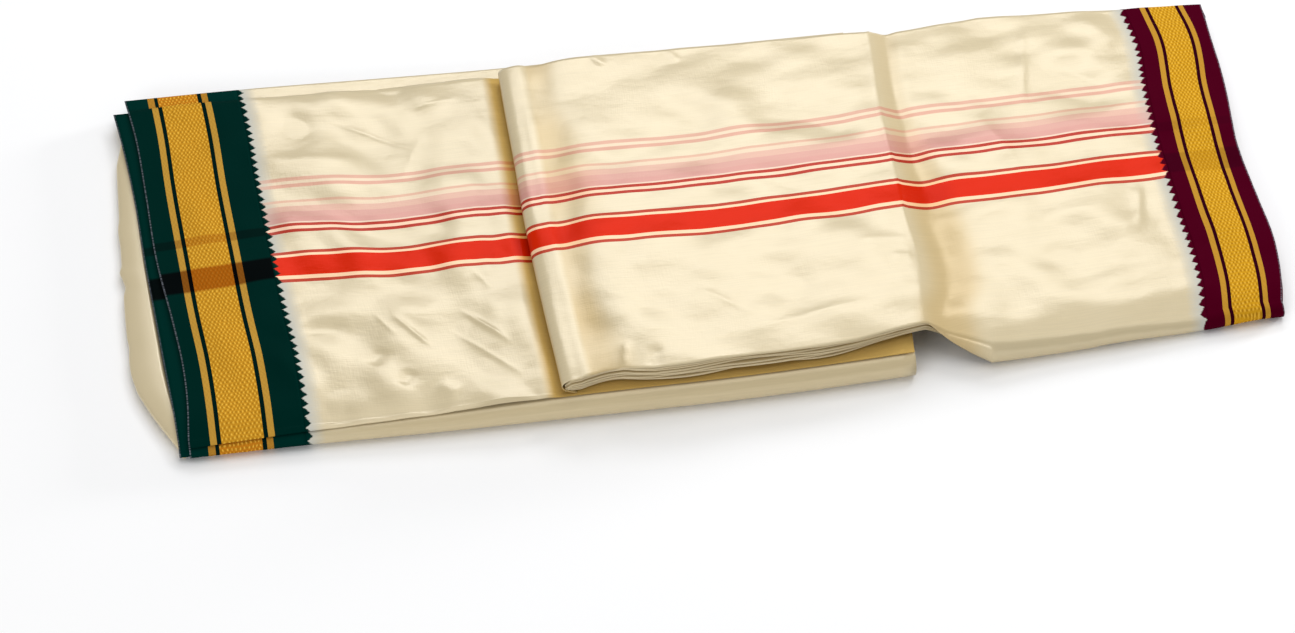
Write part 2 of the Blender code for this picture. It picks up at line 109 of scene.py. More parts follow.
# X of the crease where the top sheet leaves the packet, at places along Y
DROP = {
    "y": (-0.170, -0.141, -0.126, -0.094, -0.050, -0.004, 0.046, 0.098, 0.148, 0.170),
    "x": (0.111, 0.1139, 0.1215, 0.1275, 0.1284, 0.1322, 0.1351, 0.1402, 0.1469, 0.150),
}

# Stations of the right run: the line each is measured from, metres past it, and the heights
# of its top sheet there at the front and at the back
RIGHT_RUN = (
    ("packet_fold", 0.013, 0.0328, 0.0266),
    ("packet_fold", 0.022, 0.0338, 0.0272),
    ("packet_fold", 0.038, 0.0345, 0.0276),
    ("packet_fold", 0.050, 0.0348, 0.0278),
    ("packet_fold", 0.085, 0.0346, 0.0276),
    ("packet_fold", 0.120, 0.0342, 0.0271),
    ("packet_fold", 0.155, 0.0336, 0.0265),
    ("packet_fold", 0.190, 0.0326, 0.0257),
    ("packet_drop", -0.030, 0.0318, 0.0251),
    ("packet_drop", -0.008, 0.0312, 0.0248),
    ("packet_drop", -0.001, 0.0307, 0.0245),
    ("packet_drop", 0.005, 0.0287, 0.0230),
    ("packet_drop", 0.014, 0.0260, 0.0207),
    ("packet_drop", 0.024, 0.0240, 0.0190),
    ("packet_drop", 0.040, 0.0226, 0.0178),
    ("maroon_seam", -0.125, 0.0206, 0.0160),
    ("maroon_seam", -0.090, 0.0192, 0.0146),
    ("maroon_seam", -0.055, 0.0178, 0.0132),
    ("maroon_seam", -0.025, 0.0164, 0.0120),
    ("maroon_seam", 0.000, 0.0152, 0.0110),
    ("right_edge", -0.025, 0.0148, 0.0108),
    ("right_edge", 0.000, 0.0140, 0.0105),
)
SEAM_STATION = -3  # the station on the maroon seam itself

# Y of the middle of the red stripe at places along X, on the left run and on the right run
RED_LEFT = {
    "x": (-0.400, -0.330, -0.281, -0.255, -0.229, -0.216, -0.190, -0.135, 0.140),
    "y": (-0.0190, -0.0175, -0.0155, -0.0182, -0.0222, -0.0240, -0.0251, -0.0260, -0.0300),
}
RED_RIGHT = {
    "x": (-0.140, -0.118, -0.096, -0.056, -0.015, 0.026, 0.067, 0.109, 0.131, 0.150, 0.165,
          0.203, 0.245, 0.277, 0.309, 0.400),
    "y": (-0.0325, -0.0322, -0.0314, -0.0328, -0.0337, -0.0328, -0.0306, -0.0276, -0.0255,
          -0.0220, -0.0201, -0.0182, -0.0152, -0.0125, -0.0112, -0.0110),
}

# Broad soft folds of the top sheets: X and share of the middle, half widths, height
LEFT_FOLDS = (
    (-0.255, 0.62, 0.030, 0.22, 0.0012),
    (-0.215, 0.28, 0.018, 0.20, 0.0016),
    (-0.165, 0.52, 0.016, 0.30, 0.0014),
    (-0.325, 0.45, 0.030, 0.35, 0.0010),
)
RIGHT_FOLDS = (
    (-0.060, 0.40, 0.030, 0.30, 0.0010),
    (0.030, 0.70, 0.026, 0.22, 0.0012),
    (0.090, 0.22, 0.024, 0.18, 0.0012),
    (0.205, 0.62, 0.020, 0.40, 0.0016),
    (0.270, 0.30, 0.022, 0.26, 0.0014),
    (0.352, 0.60, 0.030, 0.09, 0.0022),
    (0.345, 0.25, 0.030, 0.12, 0.0024),
)


def curve(at: np.ndarray, places: tuple, values: tuple | np.ndarray) -> np.ndarray:
    """Smooth value of a table at a place.

    Between two entries it is the cubic that meets both and takes at each the slope of the
    line through its neighbours: a cubic Hermite blend of the two values and two slopes.

    Args:
        at: places to read the table at, of any shape.
        places: the table's places, rising.
        values: the table's values, or one row of values for each place.

    Returns:
        The values at those places, with the rows' own axis last where values has rows.
    """
    xs, ys = np.asarray(places, float), np.asarray(values, float)
    slopes = np.gradient(ys, xs, axis=0)
    at = np.clip(at, xs[0], xs[-1])
    k = np.clip(np.searchsorted(xs, at, side="right") - 1, 0, len(xs) - 2)
    width = xs[k + 1] - xs[k]
    t = (at - xs[k]) / width
    if ys.ndim > 1:
        width, t = width[..., None], t[..., None]
    start = (1 + 2 * t) * (1 - t) ** 2 * ys[k] + t * (1 - t) ** 2 * width * slopes[k]
    end = t**2 * (3 - 2 * t) * ys[k + 1] + t**2 * (t - 1) * width * slopes[k + 1]
    return start + end


def line(name: str, share: np.ndarray | float) -> np.ndarray:
    """X of one of the plan lines at a share of the way from front to back."""
    return curve(np.asarray(share, float), LINES["share"], LINES[name])


def run(name: str, x: np.ndarray) -> np.ndarray:
    """One column of the strip's table at X."""
    return curve(np.asarray(x, float), RUN["x"], RUN[name])


def past_drop(x: np.ndarray, y: np.ndarray) -> np.ndarray:
    """Metres to the right of the crease where the top sheet leaves the packet."""
    return x - curve(y, DROP["y"], DROP["x"])


def fade(value: np.ndarray, start: np.ndarray | float, end: np.ndarray | float) -> np.ndarray:
    """0 before start, 1 after end and a smooth S between them, in either direction."""
    t = np.clip((value - start) / (end - start), 0.0, 1.0)
    return t * t * (3 - 2 * t)


def bell(value: np.ndarray, middle: np.ndarray | float, half: np.ndarray | float) -> np.ndarray:
    """1 at the middle, falling off on both sides as a Gaussian bell."""
    return np.exp(-(((value - middle) / half) ** 2))


def steps(*spans: tuple[float, float, int]) -> np.ndarray:
    """Places from several spans (start, end, count), each span's end left to the next one."""
    parts = [np.linspace(a, b, n, endpoint=False) for a, b, n in spans]
    return np.append(np.concatenate(parts), spans[-1][1])


def raised(folds: tuple, x: np.ndarray, share: np.ndarray) -> np.ndarray:
    """Height that broad folds add: for each one, a bell over its own ellipse.

    Args:
        folds: rows of X and share of the middle, half widths along X and in share, and height.
        x: X of the points.
        share: their share of the way from front to back.

    Returns:
        The height at each point.
    """
    total = np.zeros(np.broadcast(x, share).shape)
    for place, middle, half_x, half_share, height in folds:
        distance = ((x - place) / half_x) ** 2 + ((share - middle) / half_share) ** 2
        total = total + height * np.exp(-1.5 * distance)
    return total


def shoulder(share: np.ndarray) -> np.ndarray:
    """How far down its shoulder a place is: 1 at the front and 0 from the shoulder's start."""
    return np.clip(1.0 - share / SHOULDER, 0.0, 1.0) ** 2


def wrap_height(x: np.ndarray, share: np.ndarray | float) -> np.ndarray:
    """Height of the left run's second sheet: level from front to back, less its shoulder."""
    front, back = run("front_height", x), run("back_height", x)
    return front + share * (back - front) - run("shoulder_drop", x) * shoulder(share)


def flat_place(
    x: np.ndarray, share: np.ndarray, reach: np.ndarray | float, front: np.ndarray | float,
    back: np.ndarray | float,
) -> np.ndarray:
    """Y of a point on a level part.

    Args:
        x: X of the points.
        share: their share of the way from the start of the front fold to the back edge.
        reach: how far the front fold rounds out.
        front: how far that fold stands in from the strip's front.
        back: how far the back edge stands in from the strip's back.

    Returns:
        Y at each point.
    """
    start = run("front", x) + front + reach
    end = run("back", x) - back
    return start + share * (end - start)


def normals(points: np.ndarray) -> np.ndarray:
    """Unit normals of a grid: the cross product of its column and row directions."""
    found = np.cross(np.gradient(points, axis=1), np.gradient(points, axis=0))
    return found / np.linalg.norm(found, axis=2, keepdims=True)


def on_table(points: np.ndarray) -> np.ndarray:
    """The same points in plan, just over the table."""
    return points * (1.0, 1.0, 0.0) + (0.0, 0.0, TABLE_GAP)


@dataclass(frozen=True)
class Crease:
    """A soft crease: a ridge or trough along a line, with its own width and height."""

    start: tuple[float, float]
    end: tuple[float, float]
    width: float
    height: float
    keen: bool = False

    def at(self, x: np.ndarray, y: np.ndarray) -> np.ndarray:
        """Height it adds, sinking to nothing at its two ends: across it a bell, or a keen fold.

        Args:
            x: X of the points.
            y: Y of the points.

        Returns:
            The height at each point.
        """
        along = np.array(self.end) - np.array(self.start)
        length = float(np.hypot(*along))
        ux, uy = along / length
        dx, dy = x - self.start[0], y - self.start[1]
        t = (dx * ux + dy * uy) / length
        across = (dx * uy - dy * ux) / self.width
        ends = fade(t, -0.15, 0.30) * fade(t, 1.15, 0.70)
        blunt = 0.15
        shape = np.exp(blunt - np.hypot(across, blunt)) if self.keen else np.exp(-(across**2))
        return self.height * ends * shape


@dataclass(frozen=True)
class Ripples:
    """Low soft waves of silk that lies on its layers, from a few dozen plane waves."""

    seed: int
    height: float
    shortest: float = 0.022
    longest: float = 0.085
    count: int = 26

    def at(self, x: np.ndarray, y: np.ndarray) -> np.ndarray:
        """Height at a place: the sum of the waves, each as high as its length allows.

        Args:
            x: X of the points.
            y: Y of the points.

        Returns:
            The height at each point.
        """
        dice = np.random.default_rng(self.seed)
        length = dice.uniform(self.shortest, self.longest, self.count)
        heading = dice.uniform(0.0, math.pi, self.count)
        phase = dice.uniform(0.0, 2 * math.pi, self.count)
        total = np.zeros(np.broadcast(x, y).shape)
        for k in range(self.count):
            place = x * math.cos(heading[k]) + y * math.sin(heading[k])
            total += length[k] * np.sin(2 * math.pi * place / length[k] + phase[k])
        return self.height * total / (self.longest * math.sqrt(self.count / 2))


LEFT_RIPPLES = Ripples(seed=11, height=0.0009)
RIGHT_RIPPLES = Ripples(seed=29, height=0.0006)

# Creases of the left top sheet, of the packet and right top sheet, and of the bulge
LEFT_CREASES = (
    Crease((-0.2321, -0.0753), (-0.2217, -0.0968), 0.0018, 0.0004, True),
    Crease((-0.2196, -0.0804), (-0.2008, -0.1123), 0.0020, 0.0009, True),
    Crease((-0.1751, -0.0833), (-0.1532, -0.1138), 0.0018, 0.0007, True),
    Crease((-0.1686, -0.0934), (-0.1495, -0.1194), 0.0018, 0.0005, True),
    Crease((-0.1843, -0.1015), (-0.1437, -0.1542), 0.0020, 0.0004, True),
    Crease((-0.1631, -0.0452), (-0.1529, -0.0672), 0.0020, 0.0004, True),
    Crease((-0.1836, 0.1342), (-0.1505, 0.1407), 0.0022, 0.0004, True),
    Crease((-0.2375, 0.1325), (-0.1808, 0.0873), 0.0030, 0.0005, True),
    Crease((-0.1786, 0.1034), (-0.1984, 0.0580), 0.0060, 0.0005, True),
    Crease((-0.2895, 0.0989), (-0.2242, 0.0874), 0.0060, 0.0004),
    Crease((-0.2399, -0.1228), (-0.2305, -0.1099), 0.0060, -0.0008),
    Crease((-0.2233, -0.1450), (-0.2154, -0.1339), 0.0050, -0.0009),
    Crease((-0.2000, -0.1500), (-0.1880, -0.1600), 0.0060, 0.0009),
    Crease((-0.3027, -0.0923), (-0.2704, -0.1509), 0.0090, 0.0012),
    Crease((-0.2819, -0.0813), (-0.2525, -0.0816), 0.0080, -0.0008),
    Crease((-0.2850, 0.1300), (-0.1500, -0.0200), 0.0200, 0.0008),
    Crease((-0.2700, 0.0300), (-0.1600, -0.0700), 0.0140, 0.0010),
    Crease((-0.2600, -0.0500), (-0.1900, -0.1500), 0.0180, 0.0009),
    Crease((-0.3300, 0.0100), (-0.2990, 0.0080), 0.0030, 0.0004),
    Crease((-0.1500, 0.1000), (-0.1560, -0.1300), 0.0060, 0.0006),
)
RIGHT_CREASES = (
    Crease((-0.0210, -0.1040), (0.0064, -0.1318), 0.0025, 0.0004, True),
    Crease((-0.0830, -0.1740), (-0.0780, -0.1480), 0.0030, 0.0015, True),
    Crease((-0.0640, -0.1740), (-0.0600, -0.1560), 0.0040, -0.0010),
    Crease((-0.0862, -0.0957), (-0.0619, -0.1079), 0.0040, 0.0003, True),
    Crease((0.0030, -0.1489), (0.0791, -0.1328), 0.0060, 0.0006, True),
    Crease((0.0900, -0.0720), (0.1229, -0.0718), 0.0050, 0.0005, True),
    Crease((0.1100, -0.0900), (0.1254, -0.0907), 0.0040, 0.0006, True),
    Crease((0.0046, 0.0356), (0.0645, 0.0578), 0.0060, 0.0004, True),
    Crease((0.2045, 0.0552), (0.2227, -0.0136), 0.0060, 0.0005, True),
    Crease((-0.0500, 0.1560), (-0.0440, 0.1440), 0.0030, 0.0010),
    Crease((0.0040, 0.1540), (0.0080, 0.1420), 0.0030, 0.0008),
    Crease((0.2589, 0.1494), (0.2378, 0.0650), 0.0030, 0.0006),
    Crease((0.2950, -0.0300), (0.2850, -0.0700), 0.0035, 0.0008),
    Crease((0.3000, 0.1600), (0.3250, 0.1200), 0.0120, 0.0014),
    Crease((-0.0800, 0.1400), (-0.0700, -0.1600), 0.0120, 0.0006),
    Crease((0.0100, 0.1200), (0.0800, -0.0200), 0.0200, 0.0008),
    Crease((0.0500, -0.1500), (0.1000, -0.0500), 0.0200, 0.0008),
)
BULGE_CREASES = (
    Crease((-0.398, 0.012), (-0.378, 0.004), 0.0040, 0.0016),
    Crease((-0.398, -0.002), (-0.376, -0.016), 0.0050, -0.0016),
    Crease((-0.396, 0.060), (-0.380, 0.040), 0.0080, 0.0010),
    Crease((-0.394, -0.060), (-0.376, -0.080), 0.0080, -0.0010),
    Crease((-0.390, -0.105), (-0.372, -0.120), 0.0060, 0.0010),
)


def creased(creases: tuple[Crease, ...], x: np.ndarray, y: np.ndarray) -> np.ndarray:
    """Height that several creases add together."""
    return sum(crease.at(x, y) for crease in creases)


@dataclass
class Surface:
    """A grid of points with the cloth's own place at each of them.

    Attributes:
        points: rows by columns by XYZ.
        weave: rows by columns by (metres past the border's seam, metres behind the red stripe).
        rim: rows by columns, metres in from the cloth's edge.
        shade: rows by columns, painted shade, 0 in the open to 1 deep between two layers.
    """

    points: np.ndarray
    weave: np.ndarray
    rim: np.ndarray
    shade: np.ndarray

    def rows(self, first: int, last: int) -> "Surface":
        """The part of the surface between two rows, both included."""
        part = slice(first, last + 1)
        return Surface(self.points[part], self.weave[part], self.rim[part], self.shade[part])


def plain_surface(points: np.ndarray, past: np.ndarray | float, shade: np.ndarray) -> Surface:
    """A surface of hidden cloth: no stripes and no bound edge.

    Args:
        points: rows by columns by XYZ.
        past: metres past the border's seam.
        shade: rows by columns, painted shade, 0 in the open to 1 deep between two layers.

    Returns:
        The surface.
    """
    blank = 0.0 * points[..., 0]
    return Surface(points, np.stack((blank + past, blank + PLAIN), axis=-1), blank + BOUND, blank + shade)


class Slot(Enum):
    """The record's material slots."""

    CREAM = "cream_silk"
    GREEN = "green_border"
    MAROON = "maroon_border"


def grid_faces(rows: int, columns: int, start: int) -> np.ndarray:
    """Quads of a grid whose points are numbered row by row from start."""
    index = start + np.arange(rows * columns).reshape(rows, columns)
    quads = (index[:-1, :-1], index[:-1, 1:], index[1:, 1:], index[1:, :-1])
    return np.stack(quads, axis=-1).reshape(-1, 4)


def make_piece(
    name: str, surfaces: list[Surface], finish: bpy.types.Material, node: str,
    shell: float = SHELL,
) -> bpy.types.Object:
    """Makes one piece from surfaces whose outer face is up or outwards.

    Args:
        name: the piece's name.
        surfaces: the grids that it is made of.
        finish: its material.
        node: the solid that it stands for.
        shell: thickness of its wall, which grows inwards.

    Returns:
        The object, riding the cloth, with its cloth places in the UV maps weave and rim.
    """
    faces, start = [], 0
    for surface in surfaces:
        rows, columns = surface.points.shape[:2]
        faces.append(grid_faces(rows, columns, start))
        start += rows * columns
    points = np.concatenate([s.points.reshape(-1, 3) for s in surfaces])
    weave = np.concatenate([s.weave.reshape(-1, 2) for s in surfaces])
    # The rim map's second channel carries the painted shade
    rim = np.concatenate([np.stack((s.rim, s.shade), axis=-1).reshape(-1, 2) for s in surfaces])
    mesh = bpy.data.meshes.new(name)
    mesh.from_pydata(points.tolist(), [], np.concatenate(faces).tolist())
    corner = np.empty(len(mesh.loops), np.int32)
    mesh.loops.foreach_get("vertex_index", corner)
    for label, values in (("weave", weave), ("rim", rim)):
        layer = mesh.uv_layers.new(name=label)
        layer.data.foreach_set("uv", values[corner].astype(np.float32).ravel())
    mesh.materials.append(finish)
    mesh.shade_smooth()
    made = bpy.data.objects.new(name, mesh)
    bpy.context.scene.collection.objects.link(made)
    wall = made.modifiers.new("Wall", "SOLIDIFY")
    wall.thickness = shell
    wall.offset = -1.0
    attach(made, "root")
    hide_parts(node)
    log.info("%s: %d points", name, len(points))
    return made


def linear(code: str) -> tuple[float, float, float, float]:
    """Linear colour with full alpha from an sRGB hex value such as #D6A032."""
    parts = np.array([int(code[k : k + 2], 16) for k in (1, 3, 5)]) / 255.0
    values = np.where(parts <= 0.04045, parts / 12.92, ((parts + 0.055) / 1.055) ** 2.4)
    return (*(float(v) for v in values), 1.0)


def socket(wire: Wire) -> bpy.types.NodeSocket:
    """A socket as it is, or a node's main output, which on a mix of colours is its third."""
    if isinstance(wire, bpy.types.NodeSocket):
        return wire
    return wire.outputs[2 if getattr(wire, "data_type", "") == "RGBA" else 0]


def add(
    tree: bpy.types.NodeTree, kind: str, inputs: tuple | dict, **settings: str | float
) -> bpy.types.Node:
    """Adds a shader node with its inputs and settings.

    Args:
        tree: the tree it goes in.
        kind: the node's type, without the word that all shader nodes start with.
        inputs: values, nodes or sockets, in order or by the input's name or number.
        settings: its properties by name.

    Returns:
        The node.
    """
    made = tree.nodes.new("ShaderNode" + kind)
    for name, value in settings.items():
        setattr(made, name, value)
    for name, value in inputs.items() if isinstance(inputs, dict) else enumerate(inputs):
        if isinstance(value, (bpy.types.Node, bpy.types.NodeSocket)):
            tree.links.new(socket(value), made.inputs[name])
        else:
            made.inputs[name].default_value = value
    return made


def set_stops(
    ramp: bpy.types.Node, stops: list[tuple[float, str, float]], mode: str = "CONSTANT"
) -> bpy.types.Node:
    """Fills a colour ramp.

    Args:
        ramp: the node.
        stops: its stops, each a place from 0 to 1, a hex colour and an alpha.
        mode: how it goes from one stop to the next.

    Returns:
        The same node.
    """
    band = ramp.color_ramp
    band.interpolation = mode
    while len(band.elements) > 1:
        band.elements.remove(band.elements[-1])
    band.elements[0].position = stops[0][0]
    for k, (place, code, alpha) in enumerate(stops):
        stop = band.elements[0] if k == 0 else band.elements.new(place)
        stop.color = (*linear(code)[:3], alpha)
    return ramp


@dataclass(frozen=True)
class BorderPalette:
    """Colours and band places of one woven border.

    Attributes:
        ground: the border's ground.
        deep: the ground between its gold bands.
        gold: zari of the wide band.
        thin_gold: zari of the thin bands.
        crossing_ground: the ground where the red stripe's weft runs through it.
        crossing_gold: the gold there.
        crossing: how strongly that weft shows, 0 to 1.
        bands: for each band its inner and outer edge in metres out from the seam, and THIN or WIDE.
    """

    ground: str
    deep: str
    gold: str
    thin_gold: str
    crossing_ground: str
    crossing_gold: str
    crossing: float
    bands: tuple[tuple[float, float, float], ...]


THIN, WIDE = 0.5, 1.0
GREEN = BorderPalette(
    ground="#00241F",
    deep="#011A17",
    gold="#C48C24",
    thin_gold="#B98D38",
    crossing_ground="#060003",
    crossing_gold="#9A4C06",
    crossing=0.85,
    bands=((0.0190, 0.0234, THIN), (0.0262, 0.0534, WIDE), (0.0560, 0.0604, THIN)),
)
GREEN_BELOW = BorderPalette(
    ground="#002A25",
    deep="#021B18",
    gold="#C27A1C",
    thin_gold="#AE7C2C",
    crossing_ground="#060003",
    crossing_gold="#A84E0C",
    crossing=0.85,
    bands=((0.0205, 0.0249, THIN), (0.0277, 0.0549, WIDE), (0.0575, 0.0619, THIN)),
)
MAROON = BorderPalette(
    ground="#470017",
    deep="#2E0212",
    gold="#CB951E",
    thin_gold="#BC8B30",
    crossing_ground="#2A0212",
    crossing_gold="#AE7A18",
    crossing=0.40,
    bands=((0.0114, 0.0153, THIN), (0.0176, 0.0372, WIDE), (0.0394, 0.0431, THIN)),
)

BORDER_SPAN = 0.090  # the border ramp reads from here outside the seam to the seam
STRIPE_START = -0.030  # the stripe ramp reads from here in front of the red stripe's middle
STRIPE_SPAN = 0.130
PAINTED_GOLDEN_SHADE = (0.82, 0.64, 0.30, 1.0)  # painted golden shade, multiplied into the colour where shade falls between layers; the tone of light that has passed through silk
DOT_PITCH = 0.0027  # gilt dots along a row
DOT_ROWS = 0.0058  # two rows of gilt dots
DOT_WANDER = (0.0030, 0.0030, 0.0)  # unevenness of the gilt dots

# Stripes: metres behind the middle of the red one where each starts, its colour, its strength
STRIPES = (
    (-0.0300, "#F0E2C0", 0.0),
    (-0.0158, "#B02A14", 0.95),
    (-0.0129, "#F6CBA4", 0.90),
    (-0.0093, "#CE2400", 1.0),
    (0.0093, "#F6CBA4", 0.90),
    (0.0121, "#B02A14", 0.95),
    (0.0151, "#F0E2C0", 0.0),
    (0.0339, "#AC1E12", 0.95),
    (0.0370, "#F6CBAE", 0.85),
    (0.0400, "#AC1E12", 0.95),
    (0.0431, "#E8BCB0", 0.45),
    (0.0446, "#C87C7E", 0.72),
    (0.0500, "#C87C7E", 0.66),
    (0.0560, "#D08A84", 0.56),
    (0.0620, "#E2B4A0", 0.25),
    (0.0660, "#D2907E", 0.60),
    (0.0690, "#F0E2C0", 0.0),
    (0.0822, "#CC7C70", 0.62),
    (0.0855, "#E8C4AC", 0.30),
    (0.0886, "#CC7C70", 0.58),
    (0.0919, "#F0E2C0", 0.0),
)

# Where weft of the stripes darkens a border: its middle behind the red stripe's, its outer and
# inner reach on both sides, its share of the border's crossing
CROSSINGS = (
    (0.0, 0.0120, 0.0098, 1.0),
    (0.0390, 0.0050, 0.0035, 0.5),
)


@dataclass(frozen=True)
class ClothPlace:
    """Wires that say where on the cloth a point is, in metres but for the last.

    Attributes:
        weave: the next two as one vector.
        past: past the border's seam, on to the cream.
        behind: behind the middle of the red stripe.
        inwards: in from the cloth's edge.
        depth: painted shade, 0 in the open to 1 deep between two layers.
    """

    weave: Wire
    past: Wire
    behind: Wire
    inwards: Wire
    depth: Wire


@dataclass(frozen=True)
class WovenSilk:
    """Art silk in a satin weave with a zari border woven along its edge.

    The silk gives a soft bright gloss that follows each fold; the zari, gilt thread over a
    dark ground, gives a grain of bright and dark dots; the ground's teeth bite into the cream
    with a pale fuzz of floats past them. A painted golden shade darkens the colour and dims the
    gloss where shade falls between layers.
    """

    name: str
    palette: BorderPalette
    cream: str = "#D0C09B"
    floats: str = "#BFBFB6"
    bound_thread: str = "#7C7F88"
    tooth_pitch: float = 0.0080
    tooth_depth: float = 0.0038
    fuzz_reach: float = 0.0125
    silk_roughness: float = 0.28
    fuzz_roughness: float = 0.65
    zari_roughness: float = 0.48
    silk_specular: float = 0.62
    stripe_dulling: float = 0.95

    def build(self) -> bpy.types.Material:
        """Builds the material from the weave and rim UV maps.

        Returns:
            The material.
        """
        made = bpy.data.materials.new(self.name)
        made.use_nodes = True
        tree = made.node_tree
        weave = add(tree, "UVMap", (), uv_map="weave")
        cloth = add(tree, "SeparateXYZ", (weave,)).outputs
        rim = add(tree, "SeparateXYZ", (add(tree, "UVMap", (), uv_map="rim"),)).outputs
        at = ClothPlace(weave, cloth["X"], cloth["Y"], rim["X"], rim["Y"])
        striped, stripe = self.striped_cream(tree, at)
        border, gold, dots = self.border_colour(tree, at)
        teeth, fuzz = self.teeth(tree, at, stripe)
        inside = add(tree, "Math", (at.past, 0.0), operation="LESS_THAN")
        fuzzy = add(tree, "Mix", {0: fuzz, 6: striped, 7: linear(self.floats)}, data_type="RGBA")
        toothed = add(tree, "Mix", {0: teeth, 6: fuzzy, 7: linear(self.palette.ground)}, data_type="RGBA")
        woven = add(tree, "Mix", {0: inside, 6: toothed, 7: border}, data_type="RGBA")
        bound = self.selvedge(tree, at, woven)
        # Painted golden shade: the colour is multiplied darker by the shade channel between layers and
        # under folds
        shaded = add(tree, "Mix", {0: at.depth, 6: bound, 7: PAINTED_GOLDEN_SHADE}, data_type="RGBA",
                     blend_type="MULTIPLY")
        rough = add(tree, "Mix", {0: fuzz, 2: self.silk_roughness, 3: self.fuzz_roughness})
        rough = add(tree, "Mix", {0: inside, 2: rough, 3: self.zari_roughness})
        covered = add(tree, "Math", (stripe, self.stripe_dulling), operation="MULTIPLY")
        # The border, the teeth and the painted shade also dim the gloss
        for cover in (inside, teeth, at.depth):
            covered = add(tree, "Math", (covered, cover), operation="MAXIMUM")
        bright = add(tree, "MapRange", (covered, 0.0, 1.0, self.silk_specular, 0.0))
        gilt = add(tree, "Math", (gold, inside), operation="MULTIPLY")
        gilt = add(tree, "Math", (dots, gilt), operation="MULTIPLY")
        shader = tree.nodes["Principled BSDF"]
        shader.inputs["Metallic"].default_value = 0.10
        shader.inputs["Anisotropic"].default_value = 0.35
        wires = {
            "Base Color": shaded,
            "Roughness": rough,
            "Specular IOR Level": bright,
            "Tangent": add(tree, "Tangent", (), direction_type="UV_MAP", uv_map="weave"),
            "Normal": self.thread_relief(tree, at, gilt),
        }
        for name, wire in wires.items():
            tree.links.new(socket(wire), shader.inputs[name])
        return made

    def striped_cream(self, tree: bpy.types.NodeTree, at: ClothPlace) -> tuple[Wire, Wire]:
        """Cream silk with its woven stripes and slubs along the weft.

        Args:
            tree: the material's tree.
            at: where on the cloth a point is.

        Returns:
            The colour, and how strongly a stripe covers the cream.
        """
        place = add(tree, "MapRange", (at.behind, STRIPE_START, STRIPE_START + STRIPE_SPAN))
        stops = [((start - STRIPE_START) / STRIPE_SPAN, code, alpha) for start, code, alpha in STRIPES]
        ramp = set_stops(add(tree, "ValToRGB", (place,)), stops)
        stripe = ramp.outputs["Alpha"]
        slubs = self.stretched(tree, at, (26.0, 900.0))
        tone = add(tree, "MapRange", (slubs, 0.3, 0.7, 0.965, 1.02))
        cream = add(tree, "VectorMath", {0: linear(self.cream)[:3], 3: tone}, operation="SCALE")
        return add(tree, "Mix", {0: stripe, 6: cream, 7: ramp}, data_type="RGBA"), stripe

    def border_colour(self, tree: bpy.types.NodeTree, at: ClothPlace) -> tuple[Wire, Wire, Wire]:
        """The border: a ground with gold bands, crossed by the stripes' weft.

        The gilt dots of the wide band stand in rows, each row half a dot along and a little
        uneven: the product of two cosines, high where both are alike.

        Args:
            tree: the material's tree.
            at: where on the cloth a point is.

        Returns:
            The colour, how much of it is gold, and the height of its gilt dots.
        """
        palette = self.palette
        place = add(tree, "MapRange", (at.past, 0.0, -BORDER_SPAN))
        stops = [(0.0, palette.ground, 0.0)]
        for inner, outer, kind in palette.bands:
            stops.append((inner / BORDER_SPAN, palette.gold if kind == WIDE else palette.thin_gold, kind))
            stops.append((outer / BORDER_SPAN, palette.deep, 0.0))
        stops[-1] = (stops[-1][0], palette.ground, 0.0)
        ramp = set_stops(add(tree, "ValToRGB", (place,)), stops)
        gold = ramp.outputs["Alpha"]
        uneven = add(tree, "TexNoise", {"Vector": at.weave, "Scale": 150.0}).outputs["Color"]
        shifted = add(tree, "VectorMath", (uneven, DOT_WANDER, at.weave), operation="MULTIPLY_ADD")
        a_metre = (2 * math.pi / DOT_PITCH, 2 * math.pi / DOT_ROWS, 0.0)
        turns = add(tree, "VectorMath", (shifted, a_metre), operation="MULTIPLY")
        both = add(tree, "SeparateXYZ", (turns,)).outputs
        across = add(tree, "Math", (both["X"],), operation="COSINE")
        along = add(tree, "Math", (both["Y"],), operation="COSINE")
        product = add(tree, "Math", (across, along), operation="MULTIPLY")
        dots = add(tree, "MapRange", (product, -0.9, 0.9))
        shine = [(0.0, "#A8751A", 1.0), (0.36, palette.gold, 1.0), (0.66, palette.gold, 1.0),
                 (1.0, "#E6B544", 1.0)]
        gilt = set_stops(add(tree, "ValToRGB", (dots,)), shine, "LINEAR")
        wide = add(tree, "Math", (gold, (THIN + WIDE) / 2), operation="GREATER_THAN")
        ground = add(tree, "Mix", {0: wide, 6: ramp, 7: gilt}, data_type="RGBA")
        crossing = 0.0
        for middle, outer, inner, share in CROSSINGS:
            aside = add(tree, "Math", (at.behind, middle), operation="SUBTRACT")
            away = add(tree, "Math", (aside,), operation="ABSOLUTE")
            near = add(tree, "MapRange", (away, outer, inner, 0.0, share * palette.crossing))
            crossing = add(tree, "Math", (near, crossing), operation="MAXIMUM")
        weft = {0: gold, 6: linear(palette.crossing_ground), 7: linear(palette.crossing_gold)}
        crossed = add(tree, "Mix", weft, data_type="RGBA")
        return add(tree, "Mix", {0: crossing, 6: ground, 7: crossed}, data_type="RGBA"), gold, dots

